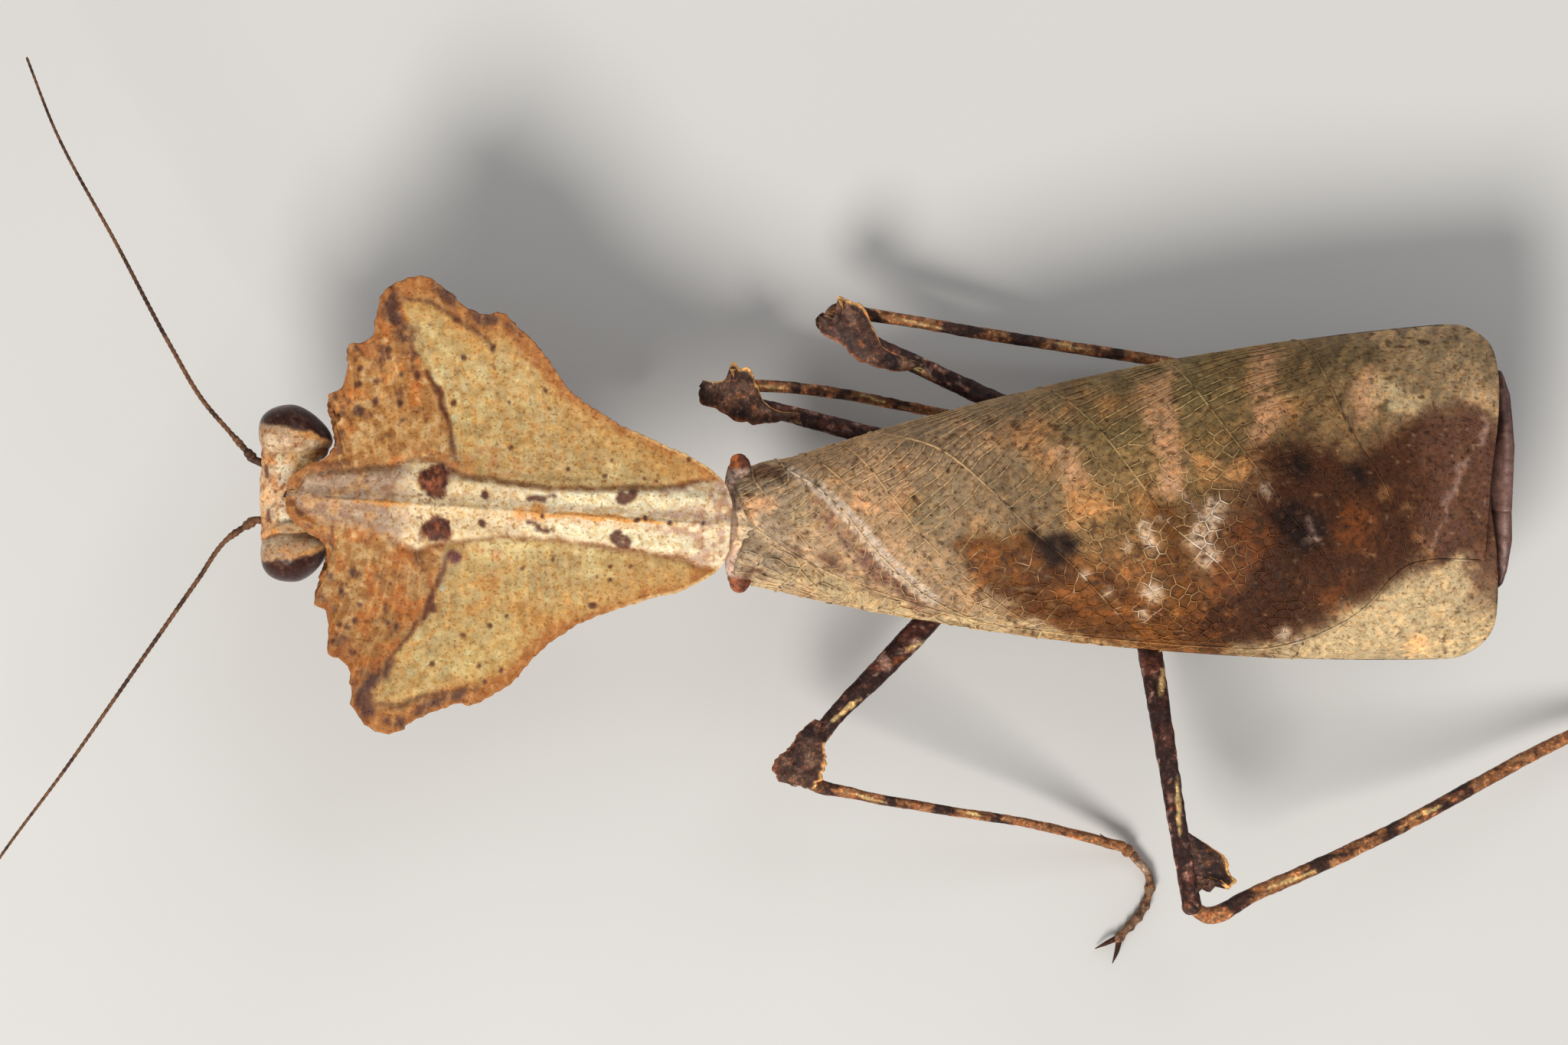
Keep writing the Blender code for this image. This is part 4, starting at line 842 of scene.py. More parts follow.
WING_PLACES = [
    (-2.0, 0.5, 2.6, (180, 158, 130)), (4.5, 3.2, 3.0, (192, 154, 116)), (8.5, -3.8, 3.2, (170, 140, 108)),
    (9.0, 4.5, 2.6, (168, 142, 112)), (13.0, 4.5, 3.4, (156, 128, 98)), (14.5, 1.2, 2.6, (138, 116, 86)),
    (21.0, 7.0, 3.6, (124, 102, 68)), (22.0, 3.5, 2.8, (144, 116, 74)), (28.5, 7.5, 3.4, (138, 114, 72)),
    (35.5, 8.0, 3.6, (132, 106, 70)), (42.0, 8.8, 3.4, (166, 140, 106)), (24.0, -5.0, 3.6, (128, 86, 48)),
    (38.0, -7.0, 3.0, (203, 180, 138)), (33.0, 0.0, 4.0, (74, 44, 30)), (43.5, 1.5, 2.6, (96, 64, 48)),
]


def wing_tint(points):
    """Colours of the fore wings, as seen from above."""
    here = flat(points[..., 0], points[..., 1])
    at = here[..., :2] + 0.45 * np.stack([clouds(here, 1.6, 21), clouds(here, 1.6, 22)], axis=-1)
    mid, fine = clouds(here, 1.2, 24), clouds(here, 0.4, 25)
    tint = patches(at, WING_PLACES)
    olive = ease(-cloud(here, 2.6, 34) + 0.5 * mid, 0.1, 0.9)
    rosy = ease(cloud(here, 2.2, 35) + 0.5 * mid, 0.15, 0.9)
    tint = paint(tint, tint * (0.87, 0.91, 0.9), olive)
    tint = paint(tint, tint * (1.2, 1.06, 0.96), 0.8 * rosy)
    tint = tint * (1 + 0.13 * mid + 0.1 * fine)[..., None]
    x, y = here[..., 0], here[..., 1]
    slanting = flat((0.55 * x + 0.83 * y) / 1.3, (0.83 * x - 0.55 * y) / 0.3)
    behind = ease(x, 25, 33) * ease(y, 1.0, 4.0)
    tint = tint * (1 + 0.2 * behind * cloud(slanting, 1.0, 53))[..., None]
    dark = np.max([near(at, streak, 0.9, True) for streak in DARK_REAR], axis=0)
    ragged = at + 0.45 * np.stack([clouds(here, 0.8, 48), clouds(here, 0.8, 49)], axis=-1)
    for marks, colour, soft, strength in (
        (TAN_MARKS, (204, 180, 138), 0.6, 0.9), (BROWN_MARKS, (84, 50, 34), 0.4, 0.7),
        (RUST, (106, 64, 28), 0.9, 0.95), (PINK_STREAKS, (206, 156, 116), 0.6, 0.8),
        (ORANGE_STREAKS, (206, 148, 92), 0.5, 0.8),
    ):
        broken = ease(fine + 0.6 * mid, -1.2, -0.1)
        for streak in marks:
            tint = paint(tint, colour, strength * near(ragged, streak, soft, True) * broken)
    true = here[..., :2] + 0.12 * np.stack([mid, fine], axis=-1)
    patchy = ease(mid + 0.9 * fine, -0.45, 0.35)
    tint = paint(tint, (104, 68, 58), 0.8 * near(at, PURPLE_BAND, 0.6, True) * patchy)
    tint = paint(tint, (206, 188, 170), 0.8 * near(true, PALE_BAND, 0.12, True))
    tint = paint(tint, (64, 36, 20), 0.94 * dark)
    tint = paint(tint, (106, 74, 60), 0.8 * dark * ease(x + mid, 39.0, 43.0))
    tint = paint(tint, (178, 132, 86), 0.6 * near(at, SMUDGES, 0.5) * ease(fine, -0.7, 0.3))
    rusty = near(at, RUST[0], 1.0, True)
    tint = paint(tint, (148, 90, 42), 0.8 * rusty * ease(mid + 0.5 * fine, 0.1, 0.7))
    tint = paint(tint, (78, 42, 18), 0.8 * rusty * ease(-mid + 0.5 * fine, 0.1, 0.7))
    tint = paint(tint, (30, 16, 10), 0.93 * near(at, RUST_DARK, 0.45))
    tint = paint(tint, (26, 14, 12), 0.9 * near(at, DARKEST, 0.8))
    tint = paint(tint, (118, 64, 28), 0.75 * near(at, RUST_SPOTS, 0.9) * ease(mid + 0.4 * fine, -0.4, 0.5))
    tint = paint(tint, (112, 76, 50), 0.5 * dark * ease(fine + 0.3 * mid, 0.35, 0.9))
    for streak in WHITE_MARKS:
        tint = paint(tint, (222, 198, 172), 0.8 * near(at, streak, 0.4, True) * ease(fine, -0.8, 0.3))
    # Painted highlight along the crests of the folds.
    for streak in FOLD_HIGHLIGHTS:
        tint = paint(tint, (176, 150, 142), 0.6 * near(at, streak, 0.22, True))
    tint = paint(tint, (136, 68, 40), 0.9 * near(at, [(-2.9, 3.6, .45), (-2.9, -4.2, .45)], 0.35))
    tint = paint(tint, (168, 100, 72), 0.8 * near(here[..., :2], REDDISH_RIM, 0.2, True))
    flecks = ease(cloud(here, 0.3, 26) + 0.4 * mid, 0.62, 0.9)
    tint = paint(tint, (58, 36, 22), 0.6 * flecks * (1 - 0.7 * near(at, TAN_MARKS[0], 0.9, True)))
    return paint(tint, (226, 200, 160), 0.3 * ease(cloud(here, 0.35, 27), 0.7, 0.95))


def vein_tint(points, size):
    """Pale veins, whitish over the rust and the bright marks, dashed with brown where stout."""
    here = flat(points[..., 0], points[..., 1])
    at = here[..., :2]
    under = wing_tint(points)
    pale = paint(under * 0.55 + (112, 94, 66), under * 0.98 + (8, 6, 4), ease(here[..., 0], 26, 33))
    rusty = near(at, RUST[0], 0.9, True)
    streaks = ease(clouds(here, 0.9, 36), 0.2, 0.75)
    pale = paint(pale, under * 1.16 + (12, 7, 3), 0.85 * rusty)
    pale = paint(pale, (210, 176, 144), 0.75 * rusty * streaks * (1 - near(at, RUST_DARK, 0.6)))
    hidden = ease(cloud(here, 0.8, 40), -0.15, 0.25) * (1 - hump(here[..., 0], 8.0, 9.0))
    pale = paint(pale, under * 1.04, 0.8 * hidden)
    for streak in WHITE_MARKS:
        pale = paint(pale, (232, 216, 198), 0.8 * near(at, streak, 0.4, True))
    dark = np.max([near(at, streak, 0.9, True) for streak in DARK_REAR], axis=0)
    pale = paint(pale, under * 1.12 + (12, 8, 5), 0.85 * dark)
    pale = paint(pale, under, 0.8 * near(at, RUST_DARK, 0.6))
    pale = paint(pale, under * 1.06, 0.8 * near(at, TAN_MARKS[0], 0.9, True))
    dashes = ease(cloud(points, 0.36, 28), 0.3, 0.5) * size
    return paint(pale, (58, 36, 26), 0.8 * dashes)


def ridges(paths, ups, wide, high):
    """Thin closed rods, four-sided, along many paths of equally many points."""
    along = unit(np.gradient(paths, axis=1))
    side = unit(np.cross(along, ups))
    wide = np.broadcast_to(wide, paths.shape[:2])[..., None]
    high = np.broadcast_to(high, paths.shape[:2])[..., None]
    rings = paths[:, :, None] + np.stack(
        [side * wide, ups * high, -side * wide, -ups * VEIN_ROOT], axis=2)
    count, long = paths.shape[:2]
    n = np.arange(count * long * 4).reshape(count, long, 4)
    after = np.roll(n, -1, axis=2)
    walls = np.stack([n[:, :-1], after[:, :-1], after[:, 1:], n[:, 1:]], axis=-1).reshape(-1, 4)
    faces = [walls, n[:, 0, ::-1].reshape(-1, 4), n[:, -1].reshape(-1, 4)]
    return rings.reshape(-1, 3), faces


def add_ridges(skin, paths, ups, wide, high, size):
    shape = ridges(paths, ups, wide, high)
    tint = vein_tint(np.repeat(paths[:, :, None], 4, axis=2), size)
    skin.add(shape, tint.reshape(-1, 3))


def cross_veins(skin, side, seed):
    """The fine veins between the stout ones: long forked lines in front, a net behind."""
    draw = np.random.default_rng(seed)
    steps = np.linspace(0, 1, 41)
    rungs = []
    for low, high, slant, tiers, cells in FIELDS:
        n = np.arange(cells + 1)

        def spot(a, v):
            """Rib number and place along it of a node of the net."""
            a = a + drift(low, a, v, tiers, cells) / cells
            return low + (high - low) * v, a - np.interp(a, steps, slant) * (v - 0.5)

        merged = np.zeros((tiers, cells + 1), int)
        for line in range(1, cells, 2):
            start, long = draw.integers(-1, tiers), draw.integers(2, 5)
            if draw.random() < 0.3:
                merged[max(start, 0):start + long, line] = draw.choice([-1, 1])
        last = None
        for tier in range(tiers):
            middle = np.clip((n + 0.25) / cells, 0, 1)
            x, w = np.moveaxis(wing_place(low + (high - low) * (tier + 0.5) / tiers, middle), -1, 0)
            net = netted(x, on_sleeve(x, w * side)[..., 1])
            jitter = draw.uniform(-0.3, 0.3, (2, cells + 1)) * net
            a0, a1 = ((n + 0.5 * net * (tier % 2) + shake) / cells for shake in jitter)
            v0 = (tier + 0.17 * net * (tier > 0)) / tiers
            v1 = (tier + 1 - 0.17 * net * (tier < tiers - 1)) / tiers
            for k in n:
                way = merged[tier, k] if net[k] < 0.3 else 0
                starts = way and tier and not merged[tier - 1, k]
                ends = way and tier < tiers - 1 and not merged[tier + 1, k]
                if not way or starts or ends:
                    from_a = a0[k] + (way / cells if ends and not starts else 0)
                    to_a = a1[k] + (way / cells if starts else 0)
                    rungs.append((*spot(from_a, v0[k]), *spot(to_a, v1[k])))
            if last is not None:
                joined = sorted([*zip(*last), *zip(a0, v0, net)])
                for (p, v, one), (q, w, two) in zip(joined, joined[1:]):
                    if min(one, two) > 0.3 and q - p < 1.2 / cells:
                        rungs.append((*spot(p, v), *spot(q, w)))
            last = (a1, v1, net)
    ends = np.array(rungs)
    ends = ends[(ends[:, [1, 3]].min(axis=1) > 0.004) & (ends[:, [1, 3]].max(axis=1) < 0.996)]
    u = np.linspace(0, 1, 4)
    kink = draw.normal(0, 0.0012, (len(ends), 1)) * np.sin(math.pi * u)
    r = ends[:, 0:1] + (ends[:, 2:3] - ends[:, 0:1]) * u
    t = ends[:, 1:2] + (ends[:, 3:4] - ends[:, 1:2]) * u + kink
    paths, ups = on_wing(side, r, t)
    paths = paths - 0.085 * ease(paths[..., 0:1], 31, 38) * ups
    add_ridges(skin, paths, ups, 0.045, 0.045, 0.0)


def fore_wing(side, name, seed):
    """The membrane of a fore wing, its cells swollen between the veins, and the veins on it."""
    rows, cols = (381, 201) if side > 0 else (321, 181)
    middle = on_wing(1, np.linspace(0, 9, 91), np.full(91, 0.5))[0]
    reach = np.concatenate([[0], np.cumsum(np.linalg.norm(np.diff(middle, axis=0), axis=1))])
    r = np.interp(np.linspace(0, reach[-1], rows), reach, np.linspace(0, 9, 91))[:, None]
    t = np.linspace(0, 1, cols)[None, :]
    r, t = np.broadcast_arrays(r, t)
    top, up = on_wing(side, r, t)
    full, cell_tone_and_shade = puffs(r, t, top[..., 0], top[..., 1])
    swell = 0.075 * full * ease(np.minimum(t, 1 - t), 0, 0.02) * (1 - 0.85 * ease(top[..., 0], 31, 38))
    swell += 0.05 * clouds(flat(top[..., 0], top[..., 1]), 2.2, 29)
    top = top + up * (swell - 0.05)[..., None]
    # Painted shade on the membrane: darker in the furrows along the veins and lighter on one side of each
    # cell, fading out towards the rear.
    shade = 1 - 0.9 * ease(top[..., 0], 31, 38)
    tint = wing_tint(top) * (1 + shade * (0.1 * cell_tone_and_shade - 0.17 * (1 - full)))[..., None]
    skin = Skin()
    skin.add_leaf(top, MEMBRANE, tint, 0.6 * tint + (30, 18, 14))
    skin.piece(name + "_membrane", WING_COAT, name, name)

    veins = Skin()
    t = np.linspace(0.004, 0.996, 170)
    for rib in [*MAIN_VEINS, 2.5]:
        t_here = t * 0.62 if rib == 2.5 else t
        paths, ups = on_wing(side, np.full((1, len(t)), float(rib)), t_here[None])
        taper = (1 - 0.6 * t)[None]
        stout = {2: 0.12, 4: 0.1}.get(rib, 0.09)
        add_ridges(veins, paths, ups, stout * taper, 0.1 * taper, 0.8)
    edge = np.linspace(0.1, 8.9, 260)
    for at in (0.0, 1.0):
        paths, ups = on_wing(side, edge[None], np.full((1, 260), at))
        add_ridges(veins, paths, ups, 0.09, 0.06, 0.6)
    cross_veins(veins, side, seed)
    veins.piece(name + "_veins", VEIN_COAT, name)


HIND_ENDS = {
    1: [(-0.1, 46.7), (0.15, 46.9), (0.4, 46.7), (0.55, 46.2), (0.66, 44.9), (0.8, 43.6)],
    -1: [(0.0, 46.7), (0.2, 46.8), (0.36, 46.5), (0.46, 46.0), (0.6, 44.4), (0.85, 43.2)],
}


def hind_wing(side, name):
    """A folded fan, seen only where its tip looks out behind the fore wings."""
    rows, cols = 201, 121
    fold = np.linspace(0, 1, cols)[None, :]
    w = -0.08 + 0.9 * fold if side > 0 else 0.02 + 0.83 * fold
    ends = np.interp(w, *np.transpose(HIND_ENDS[side]))
    along = np.linspace(0, 1, rows)[:, None]
    x = 1.0 + (ends - 1.0) * along
    pleat = (0.5 - 0.5 * np.cos(fold * 8 * 2 * math.pi)) * (1 - 0.6 * ease(x, 40, 45))
    depth = HIND_WING + (0.3 if side < 0 else 0.0) - 0.85 * ease(x, 45.2, 46.4)
    depth = depth + 0.12 * pleat * ease(along, 0.05, 0.3)
    top = on_sleeve(x, side * w, depth)
    top[..., 2] += 0.04 * clouds(top, 0.9, 31)
    mottle, fine = clouds(top, 1.6, 32), clouds(top, 0.4, 33)
    tint = paint(np.zeros(top.shape) + (96, 68, 60), (120, 90, 80), ease(mottle + fine * 0.5, 0.0, 0.8))
    tint = paint(tint, (44, 26, 24), 0.8 * ease(-mottle + 0.4 * fine, 0.3, 0.8))
    # Painted shade: the fan is near black where it runs under the corner of the fore wing.
    tint = paint(tint, (40, 24, 20), 0.8 * (ease(w, 0.5, 0.58) if side > 0 else ease(w, 0.36, 0.44)))
    tint = paint(tint, (150, 122, 116), 0.6 * hump(ends - x, 0.45, 0.22) * ease(fine, -0.8, 0.4))
    skin = Skin()
    skin.add_leaf(top, 0.2, tint)
    skin.piece(name + "_fan", FAN_COAT, name, name)


# The head


def on_head(u, v, z):
    """Layout point u forward of the head's middle, v to its right, at height z."""
    c, s = math.cos(HEAD_YAW), math.sin(HEAD_YAW)
    return np.array([HEAD_CENTRE[0] - u * c + v * s, HEAD_CENTRE[1] + u * s + v * c, z])


HEAD_AXES = [on_head(1, 0, 0) - on_head(0, 0, 0), on_head(0, 1, 0) - on_head(0, 0, 0), (0, 0, 1)]


def from_head(points):
    """The u, v and z of layout points."""
    shifted = points - np.array([*HEAD_CENTRE, 0.0])
    return shifted @ np.array(HEAD_AXES, float).T


def egg_on_head(u, v, z, half):
    return closed(egg(on_head(u, v, z), half, axes=HEAD_AXES))


HEAD_PLACES = [  # forward and to the right of the head's middle, reach and colour
    (2.0, 0.0, 0.5, (226, 180, 132)), (2.0, 2.4, 0.5, (216, 158, 104)), (2.0, -2.4, 0.5, (210, 152, 100)),
    (0.9, 1.3, 0.45, (198, 174, 144)), (0.9, -1.3, 0.45, (196, 170, 138)), (1.1, 2.7, 0.5, (172, 138, 98)),
    (1.1, -2.7, 0.5, (172, 134, 94)), (0.0, 3.3, 0.5, (184, 152, 112)), (0.0, -3.3, 0.5, (182, 146, 104)),
    (-0.8, 2.4, 0.5, (206, 158, 98)), (-0.8, -2.4, 0.5, (204, 150, 90)), (-1.0, 0.0, 0.8, (184, 130, 80)),
    (-1.7, 2.9, 0.35, (120, 66, 38)), (-1.7, -2.9, 0.35, (116, 62, 36)),
]
OCELLI = [(1.95, 0.0, 13.5), (1.8, 0.5, 14.1), (1.8, -0.5, 14.1)]
CREAM_PATCHES = [(.9, 1.5, .35), (.8, -1.6, .4)]
ORANGE_PATCHES = [(1.4, 2.1, .25), (1.4, -2.5, .25)]
HEAD_STROKES = [
    [(1.75, 1.1, .12), (1.8, 1.7, .16)], [(1.75, -1.1, .12), (1.8, -1.7, .16)],
    [(0.9, .25, .08), (0.6, .5, .08)],
]


def head():
    """The capsule of the head with its crown, ocelli, feeler sockets, jaws and palps."""
    profile = smooth([
        (8.3, 0.5, 0.4, -0.5), (8.9, 1.1, 0.8, -0.4), (9.8, 1.5, 1.1, -0.25),
        (11.0, 2.0, 1.35, -0.1), (12.4, 2.7, 1.6, 0.0), (13.6, 3.1, 1.75, 0.05),
        (14.5, 3.0, 1.7, 0.0), (15.0, 2.6, 1.3, -0.05), (15.3, 1.8, 0.7, -0.1),
    ], 40)
    turn = np.arange(64) * 2 * math.pi / 64
    rings = np.array([
        [on_head(d * math.cos(t) + shift, w * math.sin(t), z) for t in turn]
        for z, w, d, shift in profile
    ])
    shapes = [closed(rings), egg_on_head(-0.3, 0, 13.2, (1.7, 2.0, 1.8))]
    crown_bar = [(*on_head(1.0 - 0.05 * abs(v) - 0.06 * v, v, 13.85), 1.35, 1.2)
                 for v in (-3.3, -1.5, 0, 1.5, 3.3)]
    shapes.append(closed(rod(crown_bar, 40, 40)))

    def limb(rows):
        shapes.append(closed(rod(rows, 14, 16, (1, 0, 0))))

    for v in (-1, 1):
        limb([(*on_head(0.9, v * 1.1, 9.6), 0.3, 0.3), (*on_head(1.15, v * 1.4, 8.5), 0.28, 0.28),
              (*on_head(0.7, v * 0.9, 7.3), 0.22, 0.22)])
        limb([(*on_head(-0.6, v * 1.0, 9.8), 0.3, 0.3), (*on_head(-1.0, v * 1.5, 8.6), 0.28, 0.28),
              (*on_head(-0.8, v * 1.2, 7.6), 0.2, 0.2)])
        limb([(*on_head(-0.1, v * 0.75, 9.4), 0.7, 0.6), (*on_head(-0.1, v * 0.6, 8.4), 0.5, 0.45),
              (*on_head(-0.1, v * 0.25, 7.5), 0.2, 0.2)])
        shapes.append(egg_on_head(1.6, v * 1.75, 13.2, (0.5, 0.5, 0.5)))
        shapes.append(egg_on_head(0.3, v * 2.35, 14.0, (1.5, 1.0, 1.5)))
        shapes.append(egg_on_head(-0.8, v * 2.85, 13.9, (1.5, 1.05, 1.3)))
        shapes.append(egg_on_head(1.3, v * 0.8, 12.0, (0.5, 0.75, 1.2)))
    limb([(*on_head(0.85, 0, 10.4), 1.0, 0.35), (*on_head(0.55, 0, 8.4), 0.8, 0.3)])
    shapes.append(egg_on_head(1.1, 0, 11.6, (0.6, 1.0, 0.55)))
    shapes += [egg_on_head(*place, (0.26, 0.26, 0.26)) for place in OCELLI]
    points, up, faces = fused(shapes, 0.085)
    place = from_head(points)
    u, v, z = place.T
    crown = ease(z, 13.4, 14.4)
    lift = 0.06 * clouds(points, 0.8, 41) + 0.025 * cloud(points, 0.25, 42)
    lift -= 0.07 * crown * hump(v, 0, 0.14) * (1 - ease(u, 0.6, 1.2))
    lift -= 0.09 * hump(z, 11.05, 0.18) * ease(u, 0.2, 0.8) * (1 - ease(np.abs(v), 1.2, 1.8))
    lift -= 0.07 * hump(z, 12.55, 0.16) * ease(u, 0.4, 0.9) * (1 - ease(np.abs(v), 1.2, 1.7))
    lift += 0.07 * crown * hump(u, 1.35, 0.3) + 0.06 * crown * hump(np.abs(v), 1.9 + 0.3 * u, 0.3)
    points = points + up * lift[:, None]
    mid, fine = clouds(points, 0.7, 44), clouds(points, 0.3, 45)
    tint = patches(place[:, :2] + 0.2 * np.stack([mid, fine], axis=-1), HEAD_PLACES)
    tint = paint(tint, (142, 82, 44), 0.55 * ease(mid + 0.4 * fine, 0.25, 0.8))
    tint = paint(tint, (226, 204, 160), 0.65 * ease(cloud(points, 0.7, 46), 0.1, 0.6))
    tint = paint(tint, (226, 210, 176), 0.75 * crown * near(place[:, :2], CREAM_PATCHES, 0.3))
    groove = hump(u, 1.2 + 0.15 * mid, 0.16) * (1 - ease(np.abs(v), 1.8, 2.6))
    tint = paint(tint, (206, 128, 66), 0.5 * crown * groove)
    tint = paint(tint, (226, 132, 50), 0.7 * crown * near(place[:, :2], ORANGE_PATCHES, 0.2))
    tint = tint * (1.0, 1.02, 1.05)
    for stroke in HEAD_STROKES:
        tint = paint(tint, (92, 52, 36), 0.8 * near(place[:, :2], stroke, 0.14, True) * crown)
    tint = paint(tint, (112, 70, 48), 0.5 * ease(fine, 0.4, 0.75))
    tint = paint(tint, (118, 76, 52), 0.7 * (1 - ease(z, 9.0, 11.0)))
    for spot in OCELLI:
        tint = paint(tint, (150, 96, 56), 1 - ease(np.linalg.norm(place - spot, axis=1), 0.26, 0.36))
    skin = Skin()
    skin.add((points, [faces]), tint)
    skin.piece("head_capsule", HEAD_COAT, "head", "head")


# How far each eye stands out, stands forward, runs back and turns inwards there, and the slant
# of its cap.
EYE_SHAPES = {1: (3.85, 0.15, 0.6, 0.65, 0.24), -1: (3.95, 0.45, 0.35, 0.55, 0.04)}


def eye(side, name):
    """A compound eye: a dark outer cap, mottled like the head on its inner half."""
    rings = egg((0, 0, 0), (1, 1, 1), 80, 56)
    u, v, z = np.moveaxis(rings, -1, 0)
    spread, forward, back, inwards, slant = EYE_SHAPES[side]
    tail = np.maximum(-u, 0) ** 2
    ahead = forward + np.where(u > 0, 1 - (1 - np.clip(u, 0, 1)) ** 1.3, u) * EYE[0] - back * tail
    out = spread + v * EYE[1] * (1 - 0.12 * tail) - inwards * tail
    shape = np.stack([ahead, side * out, EYE_HEIGHT + z * EYE[2]], axis=-1)
    rings = on_head(0, 0, 0) + shape @ np.array(HEAD_AXES, float)
    mid, fine = clouds(rings, 0.8, 51), clouds(rings, 0.28, 52)
    tint = paint(np.zeros(rings.shape) + (176, 146, 114), (210, 186, 152), ease(mid, -0.1, 0.6))
    tint = paint(tint, (204, 142, 86), 0.6 * ease(-mid + 0.5 * fine, 0.1, 0.6))
    tint = paint(tint, (116, 74, 48), 0.55 * ease(fine, 0.3, 0.65))
    edge = v - slant * u + 0.12 * mid + 0.05 * fine + 0.13
    tint = paint(tint, (224, 156, 80), 0.6 * hump(edge, 0.22, 0.2) * ease(-u, -0.1, 0.4))
    outer = paint(np.zeros(rings.shape) + (58, 36, 32), (92, 62, 50), ease(mid + fine, 0.1, 0.9))
    tint = paint(tint, outer, ease(edge, 0.22, 0.42))
    skin = Skin()
    skin.add_rings(rings, tint)
    skin.piece(name + "_ball", EYE_COAT, name, name)


ANTENNAE = {
    1: [(-34.1, 4.1, 13.5), (-35.5, 5.7, 13.6), (-37.3, 7.8, 13.6), (-39.4, 11.3, 13.4),
        (-42.9, 17.8, 12.8), (-47.1, 25.5, 12.0), (-48.9, 30.0, 11.5)],
    -1: [(-34.1, 0.1, 13.5), (-35.9, -1.2, 13.6), (-37.6, -3.6, 13.6), (-41.5, -9.1, 13.1),
         (-46.4, -16.0, 12.4), (-50.6, -21.6, 11.8), (-52.5, -24.4, 11.5)],
}


def antenna(side, name):
    """A feeler of many short joints on two stout ones."""
    joints, per = 78, 6
    count = joints * per
    line = smooth(ANTENNAE[side], count)
    t = np.linspace(0, 1, count)
    phase = (np.arange(count) % per) / (per - 1)
    radius = (0.17 - 0.08 * t) * (0.86 + 0.18 * np.sin(phase * math.pi))
    radius *= 1 + 1.0 * (1 - ease(t, 0.012, 0.03)) + 0.45 * hump(t, 0.045, 0.03)
    root = on_head(1.6, side * 1.75, 13.4)
    start = unit(line[0] - root)
    lead = [(*(root + start * s), 0.3, 0.3) for s in (0.0, 0.4)]
    rows = np.concatenate([lead, np.column_stack([line, radius, radius])])
    rings = rod(rows, 12, len(rows))
    mottle = clouds(rings, 1.3, 61 + side)
    tint = paint(np.zeros(rings.shape) + (112, 76, 52), (68, 46, 34), ease(mottle, -0.1, 0.5))
    rim = (np.arange(len(rings)) % per == 0)[:, None] * np.ones(12)
    tint = paint(tint, (140, 100, 66), 0.45 * rim)
    skin = Skin()
    skin.add_rings(rings, tint)
    skin.piece(name + "_feeler", FEELER_COAT, name, name)


# Thorax, abdomen and tail


def ellipse_rings(rows, sides, lobes=None):
    """Upright rings along x from rows of x, y, z, half width and half height."""
    turn = np.arange(sides) * 2 * math.pi / sides
    rings = []
    for n, (x, y, z, w, h) in enumerate(rows):
        wide = w * np.cos(turn)
        if lobes is not None:
            wide = wide * (1 + lobes[n] * np.abs(np.cos(turn)) ** 8)
        rings.append(np.stack([np.full(sides, x), y + wide, z + h * np.sin(turn)], axis=1))
    return np.array(rings)


